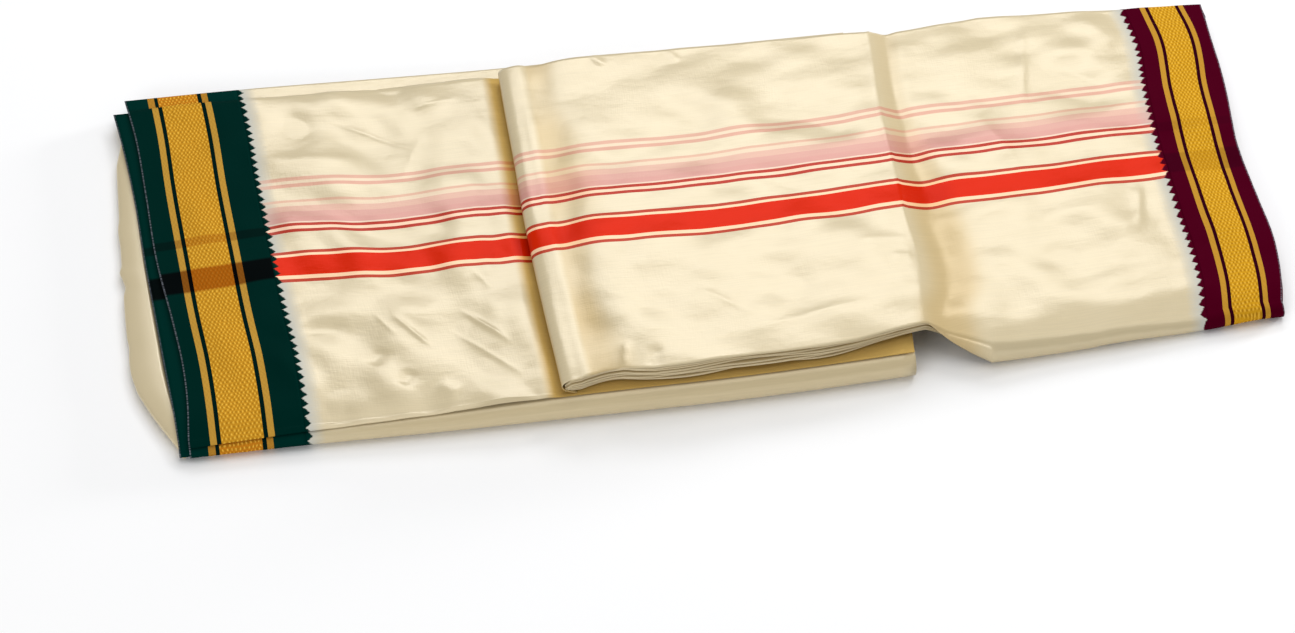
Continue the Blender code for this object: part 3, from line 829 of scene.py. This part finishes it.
    def teeth(self, tree: bpy.types.NodeTree, at: ClothPlace, stripe: Wire) -> tuple[Wire, Wire]:
        """The border's teeth on the cream, and the pale fuzz past them.

        A tooth rises and falls along the seam, uneven and a little frayed. Its depth is raised
        to a power under 1, so its sides are rounded, and its point leans one way.

        Args:
            tree: the material's tree.
            at: where on the cloth a point is.
            stripe: how strongly a stripe covers the cream, where no fuzz shows.

        Returns:
            How much of a point is tooth, and how much is fuzz.
        """
        uneven = add(tree, "TexNoise", {"W": at.behind, "Scale": 60.0}, noise_dimensions="1D")
        wandering = add(tree, "Math", (uneven, 0.0035, at.behind), operation="MULTIPLY_ADD")
        turns = add(tree, "Math", (wandering, self.tooth_pitch), operation="DIVIDE")
        part = add(tree, "Math", (turns,), operation="FRACT")
        point = 0.30
        rise = add(tree, "MapRange", (part, 0.0, point))
        fall = add(tree, "MapRange", (part, 1.0, point))
        shape = add(tree, "Math", (rise, fall), operation="MINIMUM")
        eased = add(tree, "Math", (shape, 0.85), operation="POWER")
        depth = add(tree, "Math", (eased, self.tooth_depth, 0.0006), operation="MULTIPLY_ADD")
        hair = self.stretched(tree, at, (320.0, 1900.0))
        frayed = add(tree, "Math", (hair, 0.0030, depth), operation="MULTIPLY_ADD")
        over = add(tree, "Math", (frayed, at.past), operation="SUBTRACT")
        teeth = add(tree, "MapRange", (over, 0.0011, 0.0019))
        hatch = self.stretched(tree, at, (140.0, 1400.0), 1.0)
        ragged = add(tree, "Math", (hatch, -0.006, self.fuzz_reach + 0.003), operation="MULTIPLY_ADD")
        short = add(tree, "Math", (ragged, at.past), operation="SUBTRACT")
        full = add(tree, "MapRange", (short, 0.0, 0.009, 0.0, 0.9))
        plain = add(tree, "Math", (1.0, stripe), operation="SUBTRACT")
        return teeth, add(tree, "Math", (full, plain), operation="MULTIPLY")

    def selvedge(self, tree: bpy.types.NodeTree, at: ClothPlace, colour: Wire) -> Wire:
        """A thin greyish line of bound threads along the cloth's edge, broken into dots.

        Args:
            tree: the material's tree.
            at: where on the cloth a point is.
            colour: the colour beside the line.

        Returns:
            The colour with the line on it.
        """
        near = add(tree, "MapRange", (at.inwards, 0.0011, 0.0006))
        spots = add(tree, "TexNoise", {"W": at.behind, "Scale": 700.0, "Detail": 0.0},
                    noise_dimensions="1D")
        broken = add(tree, "MapRange", (spots, 0.42, 0.60, 0.1, 0.8))
        amount = add(tree, "Math", (near, broken), operation="MULTIPLY")
        return add(tree, "Mix", {0: amount, 6: colour, 7: linear(self.bound_thread)}, data_type="RGBA")

    def thread_relief(self, tree: bpy.types.NodeTree, at: ClothPlace, gilt: Wire) -> Wire:
        """Relief of the weave: threads are 0.25 mm apart, so slubs and crumples stand in for them.

        Args:
            tree: the material's tree.
            at: where on the cloth a point is.
            gilt: height of the gilt dots.

        Returns:
            The normal.
        """
        bumps = (
            ("Crumple", self.stretched(tree, at, (38.0, 52.0), 4.0), 0.00046),
            ("Slubs", self.stretched(tree, at, (120.0, 1000.0)), 0.00007),
            ("Cross slubs", self.stretched(tree, at, (900.0, 70.0)), 0.00005),
            ("Gilt", gilt, 0.00022),
        )
        under = {}
        for label, height, distance in bumps:
            inputs = {"Strength": 1.0, "Distance": distance, "Height": height, **under}
            under = {"Normal": add(tree, "Bump", inputs, label=label)}
        return under["Normal"]

    def stretched(
        self, tree: bpy.types.NodeTree, at: ClothPlace, turns: tuple[float, float], detail: float = 2.0
    ) -> Wire:
        """Noise with its own number of turns a metre across the border and along it."""
        place = add(tree, "Mapping", {"Vector": at.weave, "Scale": (*turns, 1.0)})
        return add(tree, "TexNoise", {"Vector": place, "Scale": 1.0, "Detail": detail})


@dataclass(frozen=True)
class FoldEdges:
    """Rows of fold edges that close one side of a stack of hidden layers.

    Attributes:
        seed: start of its random draws.
        layers: how many edges lie over each other.
        depth: how far a strip runs inwards.
        reach: how far an edge may stand out or in.
        nose: how far its half round nose stands out.
        gap: share of a layer left open over it and under it.
    """

    seed: int
    layers: int = 5
    depth: float = 0.012
    reach: float = 0.0012
    nose: float = 0.0011
    gap: float = 0.07

    def surfaces(
        self, top: np.ndarray, bottom: np.ndarray, outward: tuple[float, float],
        past: np.ndarray | float,
    ) -> list[Surface]:
        """Makes one strip for each layer, a half round nose with its two sides running inwards.

        Each nose wanders in and out by its own sum of three waves along the side.

        Args:
            top: points along the top of the side, anticlockwise seen from above.
            bottom: the points below them.
            outward: unit vector in plan.
            past: metres past the border's seam, one for each point or one for all.

        Returns:
            The strips, from the top one down.
        """
        dice = np.random.default_rng(self.seed)
        apart = np.linalg.norm(np.diff(top[:, :2], axis=0), axis=1)
        along = np.concatenate(([0.0], np.cumsum(apart)))[:, None]
        bend = np.radians(np.linspace(90.0, -90.0, 9))
        out = np.concatenate(([-self.depth], self.nose * np.cos(bend), [-self.depth]))
        up = np.concatenate(([1.0], np.sin(bend), [-1.0]))
        on_nose = out > -self.depth
        strips = []
        for k in range(self.layers):
            length = dice.uniform(0.05, 0.22, 3)
            phase = dice.uniform(0.0, 2 * math.pi, 3)
            wander = np.sin(2 * math.pi * along / length + phase).sum(axis=1) / 3.0
            own = self.reach * (dice.uniform(-0.6, 0.6) + 0.8 * wander)[:, None]
            high = top + (k + self.gap) / self.layers * (bottom - top)
            low = top + (k + 1.0 - self.gap) / self.layers * (bottom - top)
            middle, half = (high + low) / 2.0, (high - low)[:, None, 2] / 2.0
            reach = out + own * on_nose
            points = middle[:, None, :] + np.array((*outward, 0.0)) * reach[..., None]
            points[..., 2] += half * up
            # Painted shade: none on the nose's outer tip, full where the strip runs back in between the
            # layers
            deep = fade(reach - own, 0.0009, -0.0016)
            strips.append(plain_surface(points, np.reshape(past, (-1, 1)), deep))
        return strips


@dataclass(frozen=True)
class LeftRun:
    """The left run: its top sheet, the wrap under it, the third sheet and the inner layers."""

    finish: bpy.types.Material
    finish_below: bpy.types.Material
    fold_steps: int = 12

    def share_steps(self, back: float) -> np.ndarray:
        """Shares from the back edge to the front, closer together on the shoulder."""
        return steps((back, SHOULDER_ENDS, 236), (SHOULDER_ENDS, 0.0, 14))

    def level(self, x: np.ndarray, share: np.ndarray) -> np.ndarray:
        """Points of the wrap on its level part."""
        y = flat_place(x, share, FOLD_REACH, 0.0, 0.0)
        return np.stack((x, y, wrap_height(x, share)), axis=-1)

    def front(self, fold_x: np.ndarray, angle: np.ndarray) -> np.ndarray:
        """Points round the front fold: half an ellipse, from its top at 90 degrees down.

        Args:
            fold_x: X of each row, as a column.
            angle: angles in radians, for all rows or a row for each.

        Returns:
            The points, rows by angles by XYZ.
        """
        half = wrap_height(fold_x, 0.0) / 2.0
        y = run("front", fold_x) + FOLD_REACH * (1.0 - np.cos(angle))
        z = half * (1.0 + np.sin(angle))
        return np.stack((fold_x + 0.0 * angle, y, z), axis=-1)

    def broad(self, x: np.ndarray, share: np.ndarray) -> np.ndarray:
        """Height of the broad folds, none where the packet rests on them."""
        return raised(LEFT_FOLDS, x, share) * fade(x, -0.13, -0.15)

    def relief(self, x: np.ndarray, y: np.ndarray) -> np.ndarray:
        """Height of the top sheet's folds, waves and creases, with its swell by the packet.

        Args:
            x: X of the points.
            y: Y of the points.

        Returns:
            The height at each point, without waves and creases under the packet.
        """
        waves = np.maximum(LEFT_RIPPLES.at(x, y) + creased(LEFT_CREASES, x, y), DEEPEST)
        clear = fade(x, -0.122, -0.145) * (0.35 + 0.65 * fade(x, -0.360, -0.330))
        front = run("front", x) + FOLD_REACH
        share = (y - front) / (run("back", x) - front)
        fold = line("packet_fold", np.clip(share, 0.0, 1.0))
        swell = 0.0022 * fade(x, fold + 0.001, fold - 0.012) * fade(x, fold - 0.090, fold - 0.024)
        return waves * clear + self.broad(x, share) + swell

    def surface(self, points: np.ndarray, share: np.ndarray, edge: str) -> Surface:
        """A surface of the left run with its cloth places.

        On the level part a point's place behind the red stripe is measured in plan. Round the
        front fold it goes on by the length of the path from the back.

        Args:
            points: rows by columns by XYZ.
            share: each column's share of the way from front to back.
            edge: the plan line of the cloth's edge.

        Returns:
            The surface, without painted shade.
        """
        level = points[..., 1] - curve(points[..., 0], RED_LEFT["x"], RED_LEFT["y"])
        path = np.cumsum(np.hypot(*np.moveaxis(np.diff(points[..., 1:], axis=1), -1, 0)), axis=1)
        path = np.concatenate((np.zeros_like(path[:, :1]), path), axis=1)
        behind = np.where(share > 0.0, level, level[:, :1] - path)
        past = points[..., 0] - line("green_seam", share)
        rim = points[..., 0] - line(edge, share)
        return Surface(points, np.stack((past, behind), axis=-1), rim, 0.0 * rim)

    def rows(self, share: np.ndarray, edge: str, spans: tuple[int, int, int]) -> np.ndarray:
        """X of each row, from the cloth's edge to the end of the run.

        Args:
            share: each column's share of the way from front to back.
            edge: the plan line of the cloth's edge.
            spans: rows on the border, on the field that shows and under the packet.

        Returns:
            X, rows by columns.
        """
        first, seam = line(edge, share), line("green_seam", share)
        last = line("packet_drop", share) - LEFT_RUN_END
        border, near, far = spans
        part = np.linspace(0.0, 1.0, border, endpoint=False)[:, None]
        over = steps((0.0, 0.44, near), (0.44, 1.0, far))[:, None]
        return np.concatenate((first + part * (seam - first), seam + over * (last - seam)))

    def top_sheet(self) -> None:
        """The top sheet: its green border and its cream field, drooping over the front."""
        share = self.share_steps(0.965)
        seam_row = 44
        x = self.rows(share, "left_edge", (seam_row, 146, 24))
        fold_x = x[:, -1:]
        droop = run("front_droop", fold_x) * np.linspace(0.0, 1.0, self.fold_steps + 1)[1:]
        fold = self.front(fold_x, np.radians(90.0 - droop))
        under = np.concatenate((self.level(x, share), fold), axis=1)
        shares = np.append(share, np.zeros(self.fold_steps))
        # Near its back edge the sheet lies closer to the wrap, on the cream most of all
        lifted = LIFT - 0.0006 * fade(shares, 0.953, 0.965)
        lifted = lifted - 0.0003 * fade(under[..., 0], -0.285, -0.262) * fade(shares, 0.930, 0.965)
        over = under + lifted[..., None] * normals(under)
        lift = self.relief(over[..., 0], over[..., 1])
        last = len(share) - 1
        lift[:, last + 1 :] = lift[:, last : last + 1] * np.linspace(1.0, 0.4, self.fold_steps)
        over[..., 2] += lift
        whole = self.surface(over, shares, "left_edge")
        # Painted golden shade on the strip beside the packet's left fold, and under the packet
        packet = line("packet_fold", shares)
        whole.shade[:] = fade(over[..., 0], packet - 0.0125, packet - 0.0035)
        border = make_piece("top_sheet_green_border", [whole.rows(0, seam_row)], self.finish,
                            "left_top_border")
        cream = make_piece("top_sheet_cream", [whole.rows(seam_row, len(x) - 1)], self.finish,
                           "left_top_field")

    def wrap(self) -> None:
        """The second sheet: over the layers, round the front and under the cloth."""
        share = self.share_steps(1.0)
        seam_row = 34
        spans = (seam_row, 80, 24)
        x = self.rows(share, "left_edge", spans)
        level = self.level(x, share)
        level[..., 2] += self.broad(x, share)
        angle = np.radians(np.linspace(90.0, -90.0, 2 * self.fold_steps + 2)[1:-1])
        fold = self.front(x[:, -1:], angle)
        under_share = np.linspace(0.0, 1.0, 24)
        under_x = self.rows(under_share, "bottom_edge", spans)
        under_y = flat_place(under_x, under_share, FOLD_REACH, 0.0, 0.006)
        bottom = np.stack((under_x, under_y, 0.0 * under_x), axis=-1)
        points = np.concatenate((level, fold, bottom), axis=1)
        whole = self.surface(points, np.concatenate((share, 0.0 * angle, under_share)), "left_edge")
        start, back = len(share), len(share) + len(angle)
        whole.weave[:, back:, 1] = PLAIN
        whole.rim[:, back:] = BOUND
        # Painted shade on the front fold just under the top sheet's edge, fading out over the green
        # border
        sunk = (1.0 - np.sin(angle)) / 2.0
        whole.shade[:, start:back] = 0.12 * fade(sunk, 0.85, 0.15) * fade(fold[..., 0], -0.30, -0.22)
        border = make_piece("second_sheet_green_border", [whole.rows(0, seam_row)], self.finish_below,
                            "left_wrap_border")
        cream = make_piece("second_sheet_cream", [whole.rows(seam_row, len(x) - 1)],
                           self.finish_below, "left_wrap_field")

    def third_border(self) -> None:
        """The third sheet's green border: a strip that shows past the left edge and in front."""
        share = steps((0.965, 0.0, 70))
        first, last = line("third_edge", share), line("green_seam", share) - 0.002
        x = first + np.linspace(0.0, 1.0, 24)[:, None] * (last - first)
        level = self.level(x, share)
        level[..., 2] += self.broad(x, share) - LIFT
        bend = np.radians(90.0 - 165.0 * np.linspace(0.0, 1.0, 15)[1:])
        fold = self.front(x[:, -1:], bend)
        fold[..., 1] += 0.0016 * np.cos(bend)
        high, low = level[:, -1:, 2], 0.0006
        fold[..., 2] = high - (high - low) * (1.0 - np.sin(bend)) / 2.0
        points = np.concatenate((level, fold), axis=1)
        surface = self.surface(points, np.append(share, 0.0 * bend), "third_edge")
        made = make_piece("third_sheet_green_border", [surface], self.finish_below,
                          "left_third_border")

    def bulge(self) -> Surface:
        """The inner layer that bulges out at the left, half an ellipse from top to bottom.

        Returns:
            Its surface, from the back to the front.
        """
        share = steps((0.97, -0.012, 130))
        third = line("third_edge", share)
        inner, low, high = third + 0.004, line("bulge_edge", share), third + 0.0022
        out = low + (high - low) * fade(share, 0.82, 0.95)
        bend = np.radians(np.linspace(84.0, -90.0, 34))
        top, bottom = wrap_height(inner, np.clip(share, 0.0, 1.0)) - 2.4 * LIFT, 0.0006
        x = inner[:, None] + (out - inner)[:, None] * np.cos(bend) ** 0.8
        y = flat_place(x, share[:, None], FOLD_REACH, 0.0, 0.004)
        z = bottom + (top - bottom)[:, None] * (1.0 + np.sin(bend)) / 2.0
        x = x - creased(BULGE_CREASES, x, y) * np.cos(bend)
        # Painted shade on the part of the bulge tucked in under the third sheet's edge
        shade = 0.15 * fade(x - third[:, None], -0.003, 0.003)
        return plain_surface(np.stack((x, y, z), axis=-1), 0.05, shade)

    def back_side(self, x: np.ndarray) -> tuple[np.ndarray, np.ndarray]:
        """Top and bottom of the hidden layers' back side at places along X."""
        top = np.stack((x, run("back", x) - 0.0042, wrap_height(x, 1.0) - 0.0011), axis=-1)
        return top, on_table(top)

    def layers(self) -> None:
        """The hidden layers, as far as their edges show at the left, the back and the end."""
        shown, under = np.linspace(-0.10, -0.372, 180), np.linspace(0.135, -0.10, 90)
        past = shown - line("green_seam", 1.0)
        edges = FoldEdges(seed=5).surfaces(*self.back_side(shown), BACKWARDS, past)
        edges += FoldEdges(seed=5).surfaces(*self.back_side(under), BACKWARDS, FIELD)
        share = np.concatenate((np.linspace(-0.0205, 0.0, 12), np.linspace(0.008, 0.985, 110)))
        inside = np.clip(share, 0.0, 1.0)
        x = line("packet_drop", inside) - LEFT_RUN_END - EDGE_INSET
        y = flat_place(x, share, FOLD_REACH, 0.0, 0.0)
        ahead = flat_place(x, inside, FOLD_REACH, 0.0, 0.0) - y
        half = wrap_height(x, inside) / 2.0 - TABLE_GAP
        rounded = half * np.sqrt(1.0 - np.clip(ahead / FOLD_REACH, 0.0, 0.99) ** 2)
        top = np.stack((x, y, half + rounded), axis=-1)
        bottom = np.stack((x, y, half - rounded + TABLE_GAP), axis=-1)
        edges += FoldEdges(seed=8).surfaces(top, bottom, RIGHTWARDS, FIELD)
        made = make_piece("left_run_inner_layers", [self.bulge(), *edges], self.finish_below,
                          "left_run_layers", EDGE_SHELL)

    def build(self) -> None:
        """Builds the whole left run."""
        self.top_sheet()
        self.wrap()
        self.third_border()
        self.layers()


@dataclass(frozen=True)
class RightRun:
    """The right run: the packet's top sheet down to the maroon border, and its layers."""

    finish: bpy.types.Material
    nose_steps: int = 22
    fold_steps: int = 16

    def packet(self, x: np.ndarray, share: np.ndarray | float, after: float) -> np.ndarray:
        """How much of a point's place is the packet's: 1 on it, 0 this far past its drop."""
        return 1.0 - np.clip((x - line("packet_drop", share)) / after, 0.0, 1.0)

    def fold_reach(self, packet: np.ndarray) -> np.ndarray:
        """How far the front edge rounds out: little on the packet, fully beside it."""
        return PACKET_EDGE_REACH + (FOLD_REACH - PACKET_EDGE_REACH) * (1.0 - packet)

    def place(self, x: np.ndarray, share: np.ndarray) -> np.ndarray:
        """Y of a point of the right run.

        Args:
            x: X of the points.
            share: their share of the way from front to back.

        Returns:
            Y at each point.
        """
        packet = self.packet(x, share, SETTLED_AFTER)
        inset = curve(x, PACKET_FRONT["x"], PACKET_FRONT["inset"]) * packet
        back = PACKET_BACK_INSET * self.packet(x, share, BACK_SETTLED_AFTER)
        return flat_place(x, share, self.fold_reach(packet), inset, back)

    def level(self, share: np.ndarray) -> tuple[np.ndarray, int]:
        """Points of the level part, read smoothly between the stations.

        Args:
            share: each column's share of the way from front to back.

        Returns:
            The points, rows by columns by XYZ, and the number of the row on the maroon seam.
        """
        x = np.array([line(name, share) + past for name, past, _, _ in RIGHT_RUN])
        front, back = np.array([row[2:] for row in RIGHT_RUN]).T
        middle = x.mean(axis=1)
        before = steps((middle[0], middle[SEAM_STATION], 230))
        beyond = steps((middle[SEAM_STATION], middle[-1], 34))[1:]
        at = np.concatenate((before, beyond))
        grid_x = curve(at, middle, x)
        drop = 0.0030 - 0.0025 * self.packet(grid_x, share, SETTLED_AFTER)
        low, high = curve(at, middle, front)[:, None], curve(at, middle, back)[:, None]
        z = low + share * (high - low) - drop * shoulder(share) + raised(RIGHT_FOLDS, grid_x, share)
        return np.stack((grid_x, self.place(grid_x, share), z), axis=-1), len(before) - 1

    def front_fold(self, level: np.ndarray) -> np.ndarray:
        """Points that turn down at the front: a short lip on the packet, all the way beside it.

        Args:
            level: points of the level part, whose last column is the edge.

        Returns:
            The points, a row for each row of the level part.
        """
        edge_x, edge_y, edge_z = np.moveaxis(level[:, -1:], -1, 0)
        packet = self.packet(edge_x, 0.0, SETTLED_AFTER)
        half = PACKET_EDGE_REACH * packet + edge_z / 2.0 * (1.0 - packet)
        sweep = 60.0 * packet + 165.0 * (1.0 - packet)
        angle = np.radians(90.0 - sweep * np.linspace(0.0, 1.0, self.fold_steps + 1)[1:])
        y = edge_y - self.fold_reach(packet) * np.cos(angle)
        z = edge_z - half * (1.0 - np.sin(angle))
        return np.stack((edge_x + 0.0 * angle, y, z), axis=-1)

    def nose_degrees(self) -> np.ndarray:
        """Angles round the packet's left fold, from under it up to the level part."""
        return np.linspace(-75.0, 90.0, self.nose_steps, endpoint=False)[:, None]

    def nose(self, level: np.ndarray, share: np.ndarray) -> np.ndarray:
        """Points round the packet's left fold: part of an ellipse, tucked under at its start.

        Args:
            level: points of the level part, whose first row is the start of the packet.
            share: each column's share of the way from front to back.

        Returns:
            The points, with a flat lip at the front for the columns of the front fold.
        """
        start_x, start_y, start_z = level[0].T
        low = wrap_height(start_x, np.clip(share, 0.0, 1.0)) + LIFT + PACKET_GAP
        half = (start_z - low) / 2.0
        angle = np.radians(self.nose_degrees())
        x = start_x - PACKET_REACH * np.cos(angle)
        z = low + half + half * np.sin(angle)
        rounded = np.stack((x, np.broadcast_to(start_y, x.shape), z), axis=-1)
        lip = self.front_fold(rounded)
        lip[..., 1] = rounded[:, -1:, 1] - PACKET_EDGE_REACH * np.linspace(0.1, 1.0, self.fold_steps)
        lip[..., 2] = rounded[:, -1:, 2]
        return np.concatenate((rounded, lip), axis=1)

    def relief(self, x: np.ndarray, y: np.ndarray) -> np.ndarray:
        """Height of the top sheet's waves and creases, fading out on the packet's left fold.

        Beside that fold the sheet has a crown and a dip, and it has a crest where it leaves the
        packet and a hollow at the foot of the drop.

        Args:
            x: X of the points.
            y: Y of the points.

        Returns:
            The height at each point.
        """
        waves = np.maximum(RIGHT_RIPPLES.at(x, y) + creased(RIGHT_CREASES, x, y), DEEPEST)
        share = (y - run("front", x)) / (run("back", x) - run("front", x))
        past = x - line("packet_fold", np.clip(share, 0.0, 1.0))
        crown = 0.0009 * bell(past, 0.0155, 0.0042)
        dip = -0.0024 * bell(past, 0.025, 0.014 + 0.003 * np.sin(y * 31.0))
        dip = dip * (0.8 + 0.2 * np.sin(y * 47.0 + 1.0))
        beyond = past_drop(x, y)
        crest = 0.0009 * bell(beyond, 0.0, 0.0022) * fade(y, -0.125, -0.085)
        half = 0.0065 + 0.0060 * fade(y, 0.10, -0.06)
        foot = -0.0024 * bell(beyond, 0.006 + half, half)
        beside = (crown + dip) * fade(past, 0.0, 0.012)
        return waves * fade(past, 0.010, 0.030) + beside + crest + foot

    def shade(self, x: np.ndarray, y: np.ndarray, past: np.ndarray) -> np.ndarray:
        """Painted shade under the packet's left fold, in the dip beside it and past the drop.

        Args:
            x: X of the points, the rows of the left fold first.
            y: Y of the points.
            past: metres to the right of the packet's left fold.

        Returns:
            The painted shade at each point, 0 to 1.
        """
        shade = 0.0 * x
        # Painted shade on the underside of the packet's left fold
        shade[: self.nose_steps] = 0.75 * fade(self.nose_degrees(), 35.0, -25.0)
        # Painted shade in the hollow past the drop, wider at the front
        in_front = fade(y, 0.10, -0.06)
        middle, half = 0.011 + 0.011 * in_front, 0.009 + 0.009 * in_front
        shade += (0.16 + 0.34 * in_front) * np.exp(-(((past_drop(x, y) - middle) / half) ** 4))
        # Patchy painted shade over the dip beside the left fold
        patchy = 0.36 + 0.10 * np.sin(y * 38.0) + 0.06 * np.sin(y * 97.0)
        reached = 0.052 + 0.012 * np.sin(y * 29.0 + 1.0)
        return shade + patchy * fade(past, 0.016, 0.021) * fade(past, reached, 0.028)

    def top_sheet(self, level: np.ndarray, share: np.ndarray, seam_row: int) -> None:
        """The top sheet, from the packet's left fold to the maroon border.

        Args:
            level: points of the level part.
            share: each column's share of the way from front to back.
            seam_row: the level part's row on the maroon seam.
        """
        flat = np.concatenate((level, self.front_fold(level)), axis=1)
        points = np.concatenate((self.nose(level, share), flat))
        shares = np.append(share, np.zeros(self.fold_steps))
        x, y = points[..., 0], points[..., 1]
        points[..., 2] += self.relief(x, y)
        places = x.copy()
        places[: self.nose_steps] = x[self.nose_steps]
        behind = y - curve(places, RED_RIGHT["x"], RED_RIGHT["y"])
        weave = np.stack((line("maroon_seam", shares) - x, behind), axis=-1)
        rim = line("right_edge", shares) - x
        whole = Surface(points, weave, rim, self.shade(x, y, x - line("packet_fold", shares)))
        split = self.nose_steps + seam_row
        cream = make_piece("packet_top_sheet", [whole.rows(0, split)], self.finish,
                           "right_top_field")
        border = make_piece("maroon_border", [whole.rows(split, len(points) - 1)], self.finish,
                            "right_top_border")

    def over_floor(self, top: np.ndarray, share: float) -> np.ndarray:
        """What lies below the top of a side: the left run, then a ramp down beside it.

        Args:
            top: points along the top of the side.
            share: the side's share of the way from front to back.

        Returns:
            The points below them that the hidden layers rest on.
        """
        x = top[:, 0]
        end = line("packet_drop", share) - LEFT_RUN_END
        down = 1.0 - np.clip((x - end - 0.010) / (LEFT_RUN_END + SETTLED_AFTER), 0.0, 1.0)
        bottom = top.copy()
        bottom[:, 2] = (wrap_height(x, share) + LIFT + PACKET_GAP) * down + PACKET_GAP
        return bottom

    def layers(self, level: np.ndarray) -> None:
        """The hidden layers, as far as their edges show at the front, the back and the end.

        Args:
            level: points of the top sheet's level part.
        """
        x, y, z = level[:, -1].T
        beside = 1.0 - self.packet(x, 0.0, SETTLED_AFTER)
        z = z + np.minimum(self.relief(x, y), 0.0)
        tucked = np.array([[x[0] - 0.0105, y[0], z[0] - 0.0060], [x[0] - 0.006, y[0], z[0] - 0.002]])
        top = np.stack((x, y + 0.006 * beside, z - 0.0012 - 0.003 * beside), axis=-1)
        top = np.concatenate((tucked, top[beside < 0.98]))
        pile = FoldEdges(seed=21, layers=6, reach=0.0019, gap=0.13)
        edges = pile.surfaces(top, self.over_floor(top, 0.0), FORWARDS, FIELD)
        x, y, z = level[::-1, 0].T
        top = np.stack((x, y - EDGE_INSET, z - 0.0010 + np.minimum(self.relief(x, y), 0.0)), axis=-1)
        past = line("maroon_seam", 1.0) - x
        edges += FoldEdges(seed=23, layers=6).surfaces(top, self.over_floor(top, 1.0), BACKWARDS, past)
        top = level[-1, ::-1] - (EDGE_INSET, 0.0, 0.0010)
        edges += FoldEdges(seed=25).surfaces(top, on_table(top), RIGHTWARDS, -0.06)
        made = make_piece("right_run_inner_layers", edges, self.finish,
                          "right_run_layers", EDGE_SHELL)

    def build(self) -> None:
        """Builds the whole right run."""
        share = steps((1.0, SHOULDER_ENDS, 150), (SHOULDER_ENDS, 0.0, 14))
        level, seam_row = self.level(share)
        self.layers(level)
        self.top_sheet(level, share, seam_row)


# Soft rectangular lights: name, place, size, power, colour, and whether the gloss mirrors it
LIGHTS = (
    ("key", (0.50, 2.12, 1.86), (2.0, 0.80), 24.5, "#F8FAFF", True),
    ("side", (1.60, 1.15, 2.10), (0.7, 0.7), 11.0, "#FFFFFF", False),
    ("low", (2.50, 1.00, 0.45), (0.6, 0.4), 38.0, "#FFFFFF", False),
    ("front", (-1.5, -2.2, 0.9), (1.6, 0.8), 23.0, "#FFFFFF", True),
    ("above", (0.3, 0.2, 3.0), (3.0, 3.0), 34.5, "#FFFFFF", True),
)


@dataclass(frozen=True)
class Studio:
    """A pale table under a soft key light from behind, with fills from the sides and above.

    Attributes:
        target: the point that the camera looks at.
        distance: from the target to the camera.
        elevation: degrees that the camera looks down.
        yaw: degrees that it is turned to the left of the front.
        focal_px: focal length in pixels of the photograph.
        frame_px: the photograph's width in pixels.
        table_reach: half the table's width.
        table_top: its height, just under the cloth.
        fill: strength of the light from all round.
    """

    target: tuple[float, float, float] = (-0.0535, -0.0885, 0.0)
    distance: float = 2.64
    elevation: float = 42.0
    yaw: float = 10.0
    focal_px: float = 4000.0
    frame_px: float = 1295.0
    table_reach: float = 6.0
    table_top: float = -0.0003
    fill: float = 0.36

    def camera(self) -> None:
        """Sets the camera at the photograph's angle."""
        up, turn = math.radians(self.elevation), math.radians(self.yaw)
        ahead = Vector((math.cos(up) * math.sin(turn), math.cos(up) * math.cos(turn), -math.sin(up)))
        right = Vector((math.cos(turn), -math.sin(turn), 0.0))
        data = bpy.data.cameras.new("camera")
        data.sensor_width = 36.0
        data.lens = self.focal_px / self.frame_px * data.sensor_width
        data.clip_start, data.clip_end = 0.05, 50.0
        made = bpy.data.objects.new("camera", data)
        turned = Matrix((right, right.cross(ahead), -ahead)).transposed().to_4x4()
        made.matrix_world = Matrix.Translation(Vector(self.target) - self.distance * ahead) @ turned
        bpy.context.scene.collection.objects.link(made)
        bpy.context.scene.camera = made

    def lights(self) -> None:
        """Adds the lights, each turned to face the cloth."""
        for name, place, size, power, colour, mirrored in LIGHTS:
            data = bpy.data.lights.new(name, "AREA")
            data.shape = "RECTANGLE"
            data.size, data.size_y = size
            data.energy = power
            data.color = linear(colour)[:3]
            made = bpy.data.objects.new(name, data)
            made.location = place
            made.visible_glossy = mirrored
            made.rotation_euler = (-Vector(place)).to_track_quat("-Z", "Y").to_euler()
            bpy.context.scene.collection.objects.link(made)

    def table(self) -> None:
        """Adds the table: matt white paper, which gives soft shadows and no gloss."""
        mesh = bpy.data.meshes.new("table")
        corners = [(x * self.table_reach, y * self.table_reach, self.table_top)
                   for x, y in ((-1, -1), (1, -1), (1, 1), (-1, 1))]
        mesh.from_pydata(corners, [], [(0, 1, 2, 3)])
        paper = bpy.data.materials.new("matt_white_paper")
        paper.use_nodes = True
        shader = paper.node_tree.nodes["Principled BSDF"]
        shader.inputs["Base Color"].default_value = linear("#FBFBFB")
        shader.inputs["Roughness"].default_value = 0.9
        shader.inputs["Specular IOR Level"].default_value = 0.1
        mesh.materials.append(paper)
        made = bpy.data.objects.new("table", mesh)
        bpy.context.scene.collection.objects.link(made)

    def build(self) -> None:
        """Builds the table, the lights, the world and the camera."""
        self.table()
        self.lights()
        world = bpy.data.worlds.new("studio")
        world.use_nodes = True
        sky = world.node_tree.nodes["Background"]
        sky.inputs["Color"].default_value = linear("#FFFFFF")
        sky.inputs["Strength"].default_value = self.fill
        bpy.context.scene.world = world
        bpy.context.scene.view_settings.view_transform = "Standard"
        self.camera()


def main() -> None:
    """Builds the table, the cloth and the camera, and reports each piece."""
    logging.basicConfig(level=logging.INFO, format="%(message)s")
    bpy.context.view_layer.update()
    Studio().build()
    green = WovenSilk("art_silk_with_green_zari_border", GREEN).build()
    green_below = WovenSilk("art_silk_with_green_zari_border_below", GREEN_BELOW).build()
    maroon = WovenSilk("art_silk_with_maroon_zari_border", MAROON).build()
    LeftRun(green, green_below).build()
    RightRun(maroon).build()


if __name__ == "__main__":
    main()
